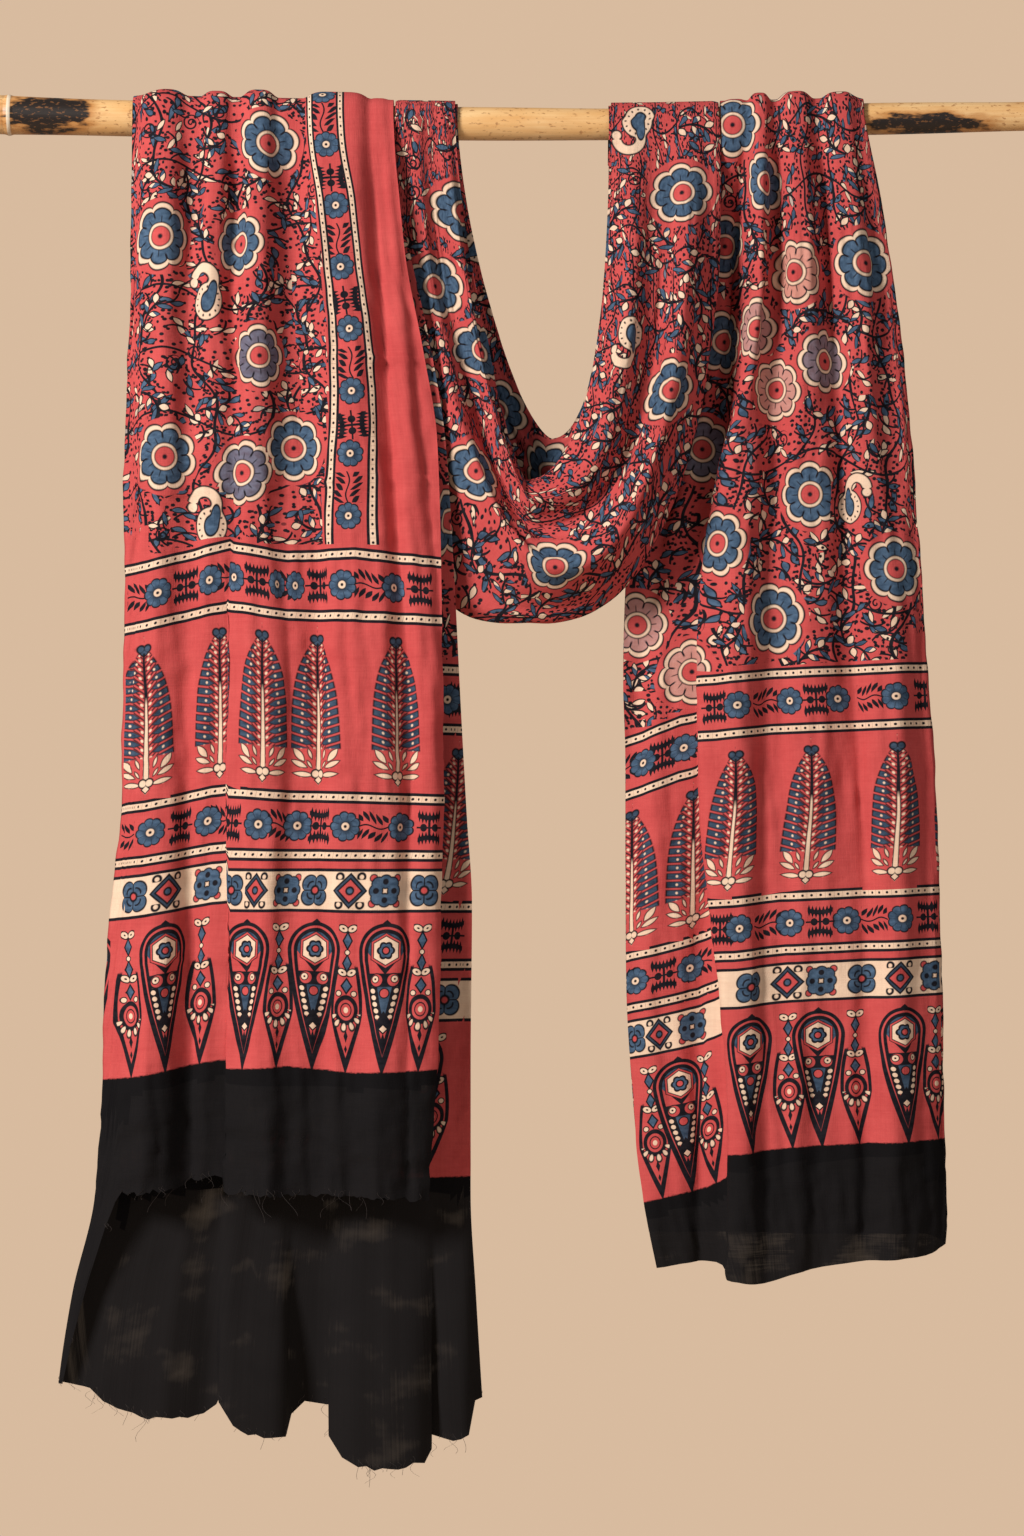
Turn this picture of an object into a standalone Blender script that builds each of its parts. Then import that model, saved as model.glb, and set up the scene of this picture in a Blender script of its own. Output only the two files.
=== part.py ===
"""Ajrakh cloth hung over a bamboo pole: a long tail at the left, a swag and a shorter tail at the right.

The cloth is one sheet, folded once along its length. Its two selvedges and the fold between them run
from the left hem over the pole, down and up again behind it, through the swag, over the pole once more,
and down to the right hem.

Lengths are in millimetres until the meshes are made. "across" runs along the pole from its left end,
"down" is the depth below the centre of that end, and "out" is the distance in front of the pole's skin.
"""

import math
from collections import namedtuple

import bmesh
import bpy
import numpy as np

METRE = 1000.0
COLLECTION = "Ajrakh_cloth_on_pole"

# The pole
POLE_LENGTH = 900.0
POLE_SIDES = 28
Girth = namedtuple("Girth", "across diameter sag")
POLE = (
    Girth(0, 30.0, 0.0),
    Girth(66, 29.2, 2.6),
    Girth(69.5, 31.0, 2.8),
    Girth(73, 29.0, 2.9),
    Girth(164, 27.0, 5.3),
    Girth(290, 26.0, 7.6),
    Girth(426, 25.2, 9.4),
    Girth(522, 23.8, 9.8),
    Girth(620, 23.8, 8.2),
    Girth(722, 24.0, 5.7),
    Girth(834, 21.8, 3.8),
    Girth(900, 21.4, 2.6),
)

# The sheet
THICKNESS = 1.2
INNER_OUT = 2.1
LAYER_GAP = 2.4
# The share of the width on each side of the fold that turns round it
TURN = 0.06
# The share of the width beside a fold or selvedge over which ridges rise, and what is left of them there
EDGE_SHARE = 0.12
EDGE_RISE = 0.25
# Folds are pressed flatter behind the pole
BACK_PRESS = 0.65
FRONT_COLUMNS = 15
PLEAT_COLUMNS = (-0.775, -0.752, -0.73, -0.708, -0.685, -0.405, -0.38, -0.36, -0.34)
BACK_COLUMNS = 13
TURN_COLUMNS = 2
TAIL_ROWS = 12
ARC_ROWS = 6
LOOP_ROWS = 6
SWAG_ROWS = 15
# The swag's rows draw together at its foot
SWAG_CROWD = 0.45
LOOP_DROP = 42.0

# Where the sheet crosses the pole, and where its corners hang: the selvedges' place and the fold's place
Crossing = namedtuple("Crossing", "front_selvedge back_selvedge fold")
LEFT_CROSSING = Crossing(356.5, 357.5, 164.0)
RIGHT_CROSSING = Crossing(610.5, 611.0, 715.5)
LEFT_FRONT_CORNERS = (390.0, 139.0)
LEFT_BACK_CORNERS = (431.0, 106.0)
RIGHT_FRONT_CORNERS = (560.0, 772.0)

Section = namedtuple("Section", "down fold front_selvedge back_selvedge front_out back_out")
LEFT_TAIL = (
    Section(5, 164, 356.5, 357.5, 4.5, 2.1),
    Section(40, 164, 358, 360, 9.0, 4.6),
    Section(65, 163.5, 361, 364, 11, 6.5),
    Section(113, 163, 370, 374, 16, 10.5),
    Section(187, 161, 384, 390, 22, 15.5),
    Section(251, 161, 394, 400, 25, 18),
    Section(341, 160.5, 397, 406, 27, 19),
    Section(458, 158, 398.5, 412, 28, 18),
    Section(531, 156, 399, 416, 29, 17),
    Section(600, 150, 397.5, 420, 28, 15),
    Section(721, 144, 394, 419, 32, 16),
    Section(815, 139, 390, 419, 36, 17),
    Section(890, 122, 390, 423, 38, 19),
    Section(956, 112, 390, 427, 40, 21),
    Section(1020, 106, 390, 431, 41, 22),
)

# The right tail: its front layer steps forward at a pleat
Pleated = namedtuple("Pleated", "down front_selvedge fold pleat side_out front_out gap")
RIGHT_TAIL = (
    Pleated(5, 610.5, 715.5, 626, 4.5, 4.5, 2.4),
    Pleated(24, 611, 719, 626, 4.6, 6, 2.6),
    Pleated(60, 610, 726, 626, -5, 9, 5),
    Pleated(118, 600, 735, 626, -7, 12, 7),
    Pleated(221, 575, 747, 616, -9, 16, 8),
    Pleated(286, 554, 753, 603, -8, 18, 8),
    Pleated(356, 536, 759, 592.5, -4, 20, 8),
    Pleated(432, 534, 763, 589, 3, 21, 8),
    Pleated(491, 535.5, 766.5, 588.5, 8, 22, 8),
    Pleated(600, 535.5, 771.5, 597, 11, 24, 9),
    Pleated(660, 536, 773, 605, 13, 26, 9),
    Pleated(746, 541, 776, 610, 15, 28, 10),
    Pleated(822, 549, 775.5, 609, 17, 30, 10),
    Pleated(880, 560, 772, 607, 18, 31, 10),
)

# A fold is a ridge that runs down a tail. Its height, width and place change evenly from start to end.
Fold = namedtuple("Fold", "start end across_top across_low half_top half_low rise_top rise_low edge")
LEFT_FRONT_FOLDS = (
    Fold(5, 500, 187, 180, 20, 26, 2.0, 3.0, 2.0),
    Fold(40, 330, 187, 183, 18, 26, 4.5, 2.0, 2.0),
    Fold(5, 420, 227, 228, 12, 20, 1.8, 2.0, 2.0),
    Fold(40, 300, 227, 226, 12, 16, 4.0, 1.0, 2.0),
    Fold(5, 470, 259, 262, 15, 24, 2.4, 3.0, 2.0),
    Fold(40, 360, 259, 262, 14, 18, 5.5, 2.5, 2.0),
    Fold(5, 620, 318, 345, 26, 36, 1.6, 5.0, 3.0),
    Fold(40, 420, 318, 340, 26, 34, 5.5, 3.0, 3.0),
    Fold(5, 420, 349, 386, 8, 14, 1.5, 5.0, 2.0),
    Fold(420, 815, 180, 172, 34, 40, 0.0, 8.0, 2.0),
    Fold(420, 815, 290, 286, 34, 44, 0.0, 8.0, 2.0),
    Fold(500, 815, 366, 362, 24, 34, 0.0, 6.0, 2.0),
)
LEFT_BACK_FOLDS = (
    Fold(790, 990, 196, 168, 40, 52, 0.0, 9.0, 2.0),
    Fold(770, 980, 256, 257, 30, 30, 0.0, 24.0, 4.0),
    Fold(770, 980, 352, 352, 42, 43, 0.0, 32.0, 4.0),
    Fold(770, 980, 406, 408, 14, 15, 0.0, 15.0, 4.0),
)
RIGHT_FRONT_FOLDS = (
    Fold(5, 480, 619, 566, 8, 28, 1.6, 5.0, 2.0),
    Fold(5, 460, 637, 612, 9, 24, 2.4, 6.0, 2.0),
    Fold(40, 300, 637, 624, 9, 16, 5.0, 2.0, 2.0),
    Fold(5, 560, 664, 682, 15, 34, 2.2, 4.0, 2.0),
    Fold(40, 360, 664, 676, 14, 24, 6.0, 2.0, 2.0),
    Fold(5, 640, 698, 744, 16, 28, 1.8, 6.0, 2.0),
    Fold(40, 420, 698, 734, 15, 24, 4.5, 2.0, 2.0),
    Fold(480, 874, 640, 636, 34, 38, 0.0, 9.0, 2.0),
    Fold(480, 874, 720, 716, 30, 34, 0.0, 3.0, 2.0),
)

# The back layer steps forward more slowly than the pleat
BACK_STEP_START = 8.0
BACK_STEP_WIDTH = 60.0
Pleat = namedtuple("Pleat", "start full half overlap step")
LEFT_PLEAT = Pleat(330, 400, 12.0, 5.5, 7.0)
LEFT_PLEAT_ACROSS = 238.0
RIGHT_PLEAT = Pleat(150, 300, 12.0, 5.5, 0.0)

Hem = namedtuple("Hem", "across down")
LEFT_FRONT_HEM = (
    Hem(139, 814), Hem(183, 811), Hem(220, 801), Hem(238, 813), Hem(325, 814), Hem(390, 818),
)
LEFT_BACK_HEM = (
    Hem(112, 956), Hem(150, 978), Hem(181, 983), Hem(211, 980), Hem(227, 966), Hem(236, 986),
    Hem(261, 995), Hem(280, 993), Hem(288, 972), Hem(310, 973), Hem(318, 1007), Hem(352, 1017),
    Hem(384, 1012), Hem(394, 997), Hem(416, 999), Hem(424, 972), Hem(431, 969),
)
RIGHT_FRONT_HEM = (
    Hem(560, 871), Hem(600, 866), Hem(612, 876), Hem(634, 880), Hem(667, 872), Hem(700, 866), Hem(772, 860),
)
RIGHT_BACK_DOWN = 846.0

# The swag's lines, from the open top edge (0) to the fold at its foot (1)
Line = namedtuple("Line", "place left low right down left_bend right_bend bulge")
SWAG_FRONT = (
    Line(0.00, 407, 460, 525, 281, 1.35, 2.2, 12),
    Line(0.24, 399, 463, 542, 297, 1.35, 2.9, 32),
    Line(0.46, 388, 468, 562, 317, 1.60, 2.6, 19),
    Line(0.72, 378, 480, 585, 349, 1.80, 2.3, 40),
    Line(0.88, 368, 477, 598, 374, 2.50, 2.3, 15),
    Line(1.00, 362, 472, 606, 386, 4.00, 2.4, 4),
)
SWAG_BACK = (
    Line(0.00, 409, 480, 523, 247, 1.45, 2.3, 22),
    Line(0.50, 386, 474, 564, 322, 1.80, 2.3, 17),
    Line(0.88, 367, 474, 598, 374, 2.60, 2.3, 8),
    Line(1.00, 362, 472, 606, 386, 4.00, 2.4, 4),
)
Lean = namedtuple("Lean", "along out")
SWAG_LEAN = (
    Lean(0, 3.1), Lean(0.07, -4), Lean(0.18, -10), Lean(0.3, -10), Lean(0.4, -6), Lean(0.5, 6),
    Lean(0.65, 17), Lean(0.85, 19), Lean(0.94, 9), Lean(1, 3.1),
)
LOOP_SWAY = (Lean(0, 0), Lean(0.25, 9), Lean(0.5, 4), Lean(0.75, -8), Lean(0.9, -4), Lean(1, 0))
Tube = namedtuple("Tube", "place half rise")
SWAG_TUBES = (Tube(0.22, 0.2, 5.0), Tube(0.70, 0.2, 6.0))

Colour = namedtuple("Colour", "name rgb roughness")
BAMBOO = Colour("Bamboo", (0.80, 0.62, 0.38), 0.45)
RED_COTTON = Colour("Madder_red_cotton", (0.42, 0.06, 0.06), 0.9)


def column(table, name):
    return np.array([getattr(row, name) for row in table], float)


def smooth_curve(keys, values, at):
    """A curve through the table's points that never swings past them."""
    step = np.diff(keys)
    slope = np.diff(values) / step
    turn = slope[:-1] * slope[1:] > 0
    inner = np.zeros(len(keys) - 2)
    inner[turn] = 2 * slope[:-1][turn] * slope[1:][turn] / (slope[:-1][turn] + slope[1:][turn])
    tangent = np.concatenate(([slope[0]], inner, [slope[-1]]))
    at = np.clip(at, keys[0], keys[-1])
    left = np.clip(np.searchsorted(keys, at, side="right") - 1, 0, len(step) - 1)
    t = (at - keys[left]) / step[left]
    rise = values[left + 1] - values[left]
    start, end = tangent[left] * step[left], tangent[left + 1] * step[left]
    return values[left] + t * (start + t * (3 * rise - 2 * start - end + t * (start + end - 2 * rise)))


def read(table, key, name, at):
    return smooth_curve(column(table, key), column(table, name), at)


def ease(t):
    t = np.clip(t, 0.0, 1.0)
    return t * t * (3 - 2 * t)


def mix(a, b, share):
    return a + (b - a) * share


def pole_radius(across):
    return read(POLE, "across", "diameter", across) / 2


def pole_down(across):
    return read(POLE, "across", "sag", across)


def rise_of(folds, across, down):
    """How far all the ridges together lift the cloth at a place."""
    total = np.zeros(np.broadcast(across, down).shape)
    for fold in folds:
        share = np.clip((down - fold.start) / (fold.end - fold.start), 0, 1)
        centre = mix(fold.across_top, fold.across_low, share)
        half = mix(fold.half_top, fold.half_low, share)
        rise = mix(fold.rise_top, fold.rise_low, ease(share))
        body = 1 - np.clip(np.abs(across - centre) / half, 0, 1) ** fold.edge
        total += rise * ease(body)
    return total


def pleated(pleat, across, centre, down, step):
    """Folds the cloth back under itself at a line: its new place across and how far it comes forward."""
    share = ease((down - pleat.start) / (pleat.full - pleat.start))
    t = np.clip((across - centre) / pleat.half, -1, 1)
    moved = across - share * pleat.overlap * np.sin(math.pi * t)
    return moved, step * ease((t + 1) / 2)


def columns():
    """Places over the width: -1 is the front layer's selvedge, 0 the fold, 1 the back layer's selvedge."""
    even = np.linspace(-1, -TURN, FRONT_COLUMNS + 1)
    clear = np.abs(even[:, None] - np.array(PLEAT_COLUMNS)).min(axis=1) > 0.012
    front = np.sort(np.concatenate((even[clear], PLEAT_COLUMNS)))
    turn = np.linspace(-TURN, TURN, 2 * TURN_COLUMNS + 1)[1:-1]
    back = np.linspace(TURN, 1, BACK_COLUMNS + 1)
    return np.concatenate((front, turn, back))


def layers(place):
    """The front layer's share, the fold's swelling and the way from a selvedge to the fold."""
    k = np.clip(place / TURN, -1, 1)
    return (1 - np.sin(k * math.pi / 2)) / 2, np.cos(k * math.pi / 2), 1 - np.abs(place)


def on_pole(across, angle, out):
    """A point round the pole: angle 0 is the front and pi the back."""
    across = across * np.ones_like(angle)
    reach = pole_radius(across) + out
    return np.stack((across, -reach * np.cos(angle), reach * np.sin(angle) - pole_down(across)), axis=-1)


def below_pole(across, down, out):
    return np.stack((across, -(pole_radius(across) + out), -down), axis=-1)


def left_tail(place, along):
    """The left tail: along is 0 at the pole and 1 at the hem."""
    front, swell, way = layers(place)
    back_hem = read(LEFT_BACK_HEM, "across", "down", mix(*LEFT_BACK_CORNERS, way))
    front_hem = read(LEFT_FRONT_HEM, "across", "down", mix(*LEFT_FRONT_CORNERS, way))
    hem = mix(back_hem, front_hem, ease((front - 0.6) / 0.4))
    top = pole_down(mix(LEFT_CROSSING.front_selvedge, LEFT_CROSSING.fold, way))
    down = mix(top, hem, along)
    fold = read(LEFT_TAIL, "down", "fold", down)
    front_out = read(LEFT_TAIL, "down", "front_out", down)
    back_out = read(LEFT_TAIL, "down", "back_out", down)
    gap = (front_out - back_out) / 2
    inner = fold + gap
    front_across = mix(read(LEFT_TAIL, "down", "front_selvedge", down), inner, way)
    back_across = mix(read(LEFT_TAIL, "down", "back_selvedge", down), inner, way)
    step = LEFT_PLEAT.step * ease((down - LEFT_PLEAT.start) / (LEFT_PLEAT.full - LEFT_PLEAT.start))
    front_rise = rise_of(LEFT_FRONT_FOLDS, front_across, down)
    front_across, forward = pleated(LEFT_PLEAT, front_across, LEFT_PLEAT_ACROSS, down, step)
    front_out = front_out + (front_rise + forward) * near_edge(way)
    back_out = back_out + rise_of(LEFT_BACK_FOLDS, back_across, down)
    across = mix(back_across, front_across, front) - gap * swell
    return below_pole(across, down, mix(back_out, front_out, front))


def right_tail(place, along):
    """The right tail: along is 0 at the pole and 1 at the hem."""
    front, swell, way = layers(place)
    front_hem = read(RIGHT_FRONT_HEM, "across", "down", mix(*RIGHT_FRONT_CORNERS, way))
    hem = mix(RIGHT_BACK_DOWN, front_hem, front)
    top = pole_down(mix(RIGHT_CROSSING.front_selvedge, RIGHT_CROSSING.fold, way))
    down = mix(top, hem, along)
    fold = read(RIGHT_TAIL, "down", "fold", down)
    side_out = read(RIGHT_TAIL, "down", "side_out", down)
    full_out = read(RIGHT_TAIL, "down", "front_out", down)
    gap = read(RIGHT_TAIL, "down", "gap", down)
    pleat = read(RIGHT_TAIL, "down", "pleat", down)
    flat = mix(read(RIGHT_TAIL, "down", "front_selvedge", down), fold - gap / 2, way)
    rise = rise_of(RIGHT_FRONT_FOLDS, flat, down)
    moved, forward = pleated(RIGHT_PLEAT, flat, pleat, down, full_out - side_out)
    front_out = side_out + forward + rise * near_edge(way)
    back_step = ease((flat - pleat - BACK_STEP_START) / BACK_STEP_WIDTH)
    back_out = side_out - gap + (full_out - side_out) * back_step
    across = mix(flat, moved, front) + gap / 2 * swell
    return below_pole(across, down, mix(back_out, front_out, front))


def swag_line(table, way, along):
    """Across and down of the swag's lines, evenly spaced along each."""
    left = read(table, "place", "left", way)
    low = read(table, "place", "low", way)
    right = read(table, "place", "right", way)
    deep = read(table, "place", "down", way)
    fine = np.linspace(-1, 1, 241)[:, None] * np.ones_like(way)
    turn = np.abs(fine) * math.pi / 2
    bend = np.where(fine < 0, read(table, "place", "left_bend", way), read(table, "place", "right_bend", way))
    reach = np.where(fine < 0, left - low, right - low)
    across = low + reach * np.sin(turn) ** (2 / bend)
    top = np.where(fine < 0, pole_down(left), pole_down(right))
    down = top + (deep - top) * np.maximum(np.cos(turn), 0) ** (2 / bend)
    pace = np.hypot(np.diff(across, axis=0), np.diff(down, axis=0))
    length = np.vstack((np.zeros_like(way), np.cumsum(pace, axis=0)))
    found_across, found_down = np.empty((2,) + along.shape)
    for i in range(len(way)):
        at = along[:, i] * length[-1, i]
        found_across[:, i] = np.interp(at, length[:, i], across[:, i])
        found_down[:, i] = np.interp(at, length[:, i], down[:, i])
    return found_across, found_down


def swag(place, along):
    """The swag: along is 0 at its left crossing and 1 at its right one. Its front layer is the back one of the tails."""
    behind, swell, way = layers(place)
    along = along * np.ones_like(way)
    front_across, front_down = swag_line(SWAG_FRONT, way, along)
    back_across, back_down = swag_line(SWAG_BACK, way, along)
    middle = np.sin(math.pi * along) ** np.where(along < 0.5, 3.0, 1.4)
    near = 0.3 + 0.7 * ease(np.minimum(along, 1 - along) / 0.14)
    half_gap = LAYER_GAP / 2 * (1 + 0.8 * ease(np.minimum(along, 1 - along) / 0.1))
    lean = read(SWAG_LEAN, "along", "out", along)
    tubes = sum(t.rise * ease(1 - np.abs(way - t.place) / t.half) for t in SWAG_TUBES)
    front_out = lean + half_gap + tubes * near + read(SWAG_FRONT, "place", "bulge", way) * middle
    back_out = lean - half_gap - read(SWAG_BACK, "place", "bulge", way) * middle
    side = np.where(along < 0.5, -1, 1) * (1 - middle)
    across = mix(front_across, back_across, behind) + half_gap * swell * side
    down = mix(front_down, back_down, behind) + half_gap * swell * middle
    return below_pole(across, down, mix(front_out, back_out, behind))


def near_edge(way):
    return mix(ease((1 - way) / EDGE_SHARE), 1.0, EDGE_RISE)


def over_pole(place, crossing, angle, outer_front, bump_folds=()):
    """The sheet round the pole at one of its crossings."""
    front, swell, way = layers(place)
    outer = front if outer_front else 1 - front
    sign = np.sign(crossing.fold - crossing.front_selvedge)
    half = LAYER_GAP / 2
    selvedge = mix(crossing.back_selvedge, crossing.front_selvedge, front)
    across = mix(selvedge, crossing.fold - sign * half, way) + sign * half * swell
    out = INNER_OUT + LAYER_GAP * outer
    if bump_folds:
        bumps = rise_of(bump_folds, across, pole_down(across)) * outer * near_edge(way)
        out = out + bumps * (1 - BACK_PRESS * np.sin(angle / 2) ** 2)
    return on_pole(across, angle, out)


def behind_pole(start, end, place, along, outer_front):
    """The short loop behind the pole, from one crossing to the next."""
    front, _, _ = layers(place)
    outer = (front if outer_front else 1 - front) * 2 - 1
    shift = ease((along - 0.25) / 0.65)
    across = mix(start[:, 0], end[:, 0], shift)
    dip = np.sin(math.pi * along)
    spread = LAYER_GAP * (0.5 + dip) * outer
    first, last = start[:, 1].mean(), end[:, 1].mean()
    uneven_start = (start[:, 1] - first - LAYER_GAP / 2 * outer) * (1 - ease(along / 0.3))
    uneven_end = (end[:, 1] - last + LAYER_GAP / 2 * outer) * ease((along - 0.7) / 0.3)
    middle = mix(first, last, ease(along)) + read(LOOP_SWAY, "along", "out", along)
    back = middle + spread * np.cos(math.pi * along) + uneven_start + uneven_end
    high = mix(start[:, 2], end[:, 2], shift)
    return np.stack((across, back, high - (LOOP_DROP + spread) * dip), axis=-1)


def swag_crossing(which):
    front, back = SWAG_FRONT, SWAG_BACK
    return Crossing(
        getattr(back[0], which), getattr(front[0], which), getattr(front[-1], which)
    )


def cloth_points(place):
    """The middle of the sheet as rows from the left hem to the right hem."""
    tail = np.linspace(1, 0, TAIL_ROWS + 1)[:, None] ** 1.35
    hang = np.linspace(0, 1, SWAG_ROWS + 1)[:, None]
    hang = hang + SWAG_CROWD * np.sin(2 * math.pi * hang) / (2 * math.pi)
    turn = np.linspace(0, math.pi, ARC_ROWS + 1)[1:, None]
    loop = np.linspace(0, 1, LOOP_ROWS + 1)[1:-1, None]
    left, right = swag_crossing("left"), swag_crossing("right")
    rows = [left_tail(place, tail)]
    rows.append(over_pole(place, LEFT_CROSSING, turn, True, LEFT_FRONT_FOLDS))
    second = over_pole(place, left, turn[::-1], False)
    rows.append(behind_pole(rows[-1][-1], second[0], place, loop, True))
    rows.append(second)
    rows.append(swag(place, hang))
    rows.append(over_pole(place, right, turn, False))
    fourth = over_pole(place, RIGHT_CROSSING, turn[::-1], True, RIGHT_FRONT_FOLDS)
    rows.append(behind_pole(rows[-1][-1], fourth[0], place, loop, False))
    rows.append(fourth)
    rows.append(right_tail(place, tail[::-1]))
    return np.concatenate(rows)


def material(colour):
    made = bpy.data.materials.new(colour.name)
    made.use_nodes = True
    shader = made.node_tree.nodes["Principled BSDF"]
    shader.inputs["Base Color"].default_value = (*colour.rgb, 1.0)
    shader.inputs["Roughness"].default_value = colour.roughness
    shader.inputs["Metallic"].default_value = 0.0
    return made


def new_object(name, mesh_data, colour, collection):
    mesh = bpy.data.meshes.new(name)
    mesh_data.to_mesh(mesh)
    mesh_data.free()
    made = bpy.data.objects.new(name, mesh)
    mesh.materials.append(material(colour))
    mesh.shade_smooth()
    collection.objects.link(made)
    return made


def make_pole(collection):
    """A cylinder along X, cut into rings that take the bamboo's taper, sag and one raised node."""
    shape = bmesh.new()
    bmesh.ops.create_cone(shape, cap_ends=True, segments=POLE_SIDES, radius1=1, radius2=1, depth=POLE_LENGTH)
    for girth in POLE[1:-1]:
        bmesh.ops.bisect_plane(
            shape,
            geom=shape.verts[:] + shape.edges[:] + shape.faces[:],
            plane_co=(0, 0, girth.across - POLE_LENGTH / 2),
            plane_no=(0, 0, 1),
        )
    for vert in shape.verts:
        across = vert.co.z + POLE_LENGTH / 2
        radius = pole_radius(np.array([across]))[0]
        down = pole_down(np.array([across]))[0]
        vert.co = (across / METRE, vert.co.x * radius / METRE, (vert.co.y * radius - down) / METRE)
    pole = new_object("pole", shape, BAMBOO, collection)
    pole.data.set_sharp_from_angle(angle=math.radians(40))
    return pole


def make_cloth(collection):
    """A flat grid laid on the sheet's rows and columns, then given its thickness."""
    place = columns()
    points = cloth_points(place) / METRE
    rows, across = points.shape[:2]
    shape = bmesh.new()
    bmesh.ops.create_grid(shape, x_segments=across - 1, y_segments=rows - 1, size=1)
    for vert in shape.verts:
        i = round((vert.co.y + 1) / 2 * (rows - 1))
        j = round((vert.co.x + 1) / 2 * (across - 1))
        vert.co = points[i, j]
    cloth = new_object("cloth", shape, RED_COTTON, collection)
    body = cloth.modifiers.new("Thickness", "SOLIDIFY")
    body.thickness = THICKNESS / METRE
    body.offset = 0
    body.use_even_offset = True
    body.use_quality_normals = True
    return cloth


def build():
    for old in list(bpy.data.objects):
        bpy.data.objects.remove(old, do_unlink=True)
    collection = bpy.data.collections.new(COLLECTION)
    bpy.context.scene.collection.children.link(collection)
    make_pole(collection)
    make_cloth(collection)


build()
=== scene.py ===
"""Ajrakh cloth over a bamboo pole, as the camera sees it.

The cloth is one fine sheet laid on the same folds as its solid, with sharper grooves, creases and
wrinkles. Each motif of the print has a place on the sheet. Every face is told where it lies inside its
nearest motif, and the materials draw the motif from that, so the print turns and narrows with the folds.

Lengths are in millimetres until the meshes are made. "across" runs along the pole from its left end,
"down" is the depth below the centre of that end, and "out" is the distance in front of the pole's skin.
"""

import math
import random
from collections import namedtuple

import bmesh
import bpy
import numpy as np
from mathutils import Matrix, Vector, kdtree

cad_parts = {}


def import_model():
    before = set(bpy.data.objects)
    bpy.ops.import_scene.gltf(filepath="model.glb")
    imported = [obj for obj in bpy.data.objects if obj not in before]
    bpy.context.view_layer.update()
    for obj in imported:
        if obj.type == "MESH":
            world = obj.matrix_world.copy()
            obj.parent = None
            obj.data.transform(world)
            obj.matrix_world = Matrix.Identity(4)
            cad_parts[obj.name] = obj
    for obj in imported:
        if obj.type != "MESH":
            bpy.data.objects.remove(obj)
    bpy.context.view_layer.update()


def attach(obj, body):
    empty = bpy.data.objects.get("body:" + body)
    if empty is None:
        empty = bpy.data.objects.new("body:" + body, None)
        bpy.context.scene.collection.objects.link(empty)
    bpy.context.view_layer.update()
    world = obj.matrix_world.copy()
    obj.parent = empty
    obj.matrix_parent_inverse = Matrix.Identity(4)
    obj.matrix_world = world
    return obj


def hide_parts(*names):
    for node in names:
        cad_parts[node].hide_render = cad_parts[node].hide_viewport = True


METRE = 1000.0

# The pole
POLE_LENGTH = 900.0
Girth = namedtuple("Girth", "across diameter sag")
POLE = (
    Girth(0, 30.0, 0.0),
    Girth(66, 29.2, 2.6),
    Girth(69.5, 31.0, 2.8),
    Girth(73, 29.0, 2.9),
    Girth(164, 27.0, 5.3),
    Girth(290, 26.0, 7.6),
    Girth(426, 25.2, 9.4),
    Girth(522, 23.8, 9.8),
    Girth(620, 23.8, 8.2),
    Girth(722, 24.0, 5.7),
    Girth(834, 21.8, 3.8),
    Girth(900, 21.4, 2.6),
)

# The sheet
INNER_OUT = 2.1
LAYER_GAP = 2.4
# The share of the width on each side of the fold that turns round it
TURN = 0.06
# The share of the width beside a fold or selvedge over which ridges rise, and what is left of them there
EDGE_SHARE = 0.12
EDGE_RISE = 0.25
# Folds are pressed flatter behind the pole
BACK_PRESS = 0.65
FRONT_COLUMNS = 86
BACK_COLUMNS = 50
TURN_COLUMNS = 7
TAIL_ROWS = 190
ARC_ROWS = 14
LOOP_ROWS = 12
SWAG_ROWS = 190
LOOP_DROP = 42.0

# Where the sheet crosses the pole, and where its corners hang: the selvedges' place and the fold's place
Crossing = namedtuple("Crossing", "front_selvedge back_selvedge fold")
LEFT_CROSSING = Crossing(360.5, 358.5, 164.0)
RIGHT_CROSSING = Crossing(607.5, 610.5, 715.5)
LEFT_FRONT_CORNERS = (390.0, 139.0)
LEFT_BACK_CORNERS = (431.0, 106.0)
RIGHT_FRONT_CORNERS = (560.0, 772.0)

Section = namedtuple("Section", "down fold front_selvedge back_selvedge front_out back_out")
LEFT_TAIL = (
    Section(5, 164, 360.5, 358.5, 4.9, 2.1),
    Section(40, 164, 362.5, 361, 9.6, 4.6),
    Section(65, 163.5, 365, 364, 11.6, 6.5),
    Section(113, 163, 370, 374, 16, 10.5),
    Section(187, 161, 384, 390, 22, 15.5),
    Section(251, 161, 394, 400, 25, 18),
    Section(341, 160.5, 397, 406, 27, 19),
    Section(458, 158, 398.5, 412, 28, 18),
    Section(531, 156, 399, 416, 29, 17),
    Section(600, 150, 397.5, 420, 28, 15),
    Section(721, 144, 394, 419, 32, 16),
    Section(815, 139, 390, 419, 36, 17),
    Section(890, 122, 390, 423, 38, 19),
    Section(956, 112, 390, 427, 40, 21),
    Section(1020, 106, 390, 431, 41, 22),
)

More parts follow.
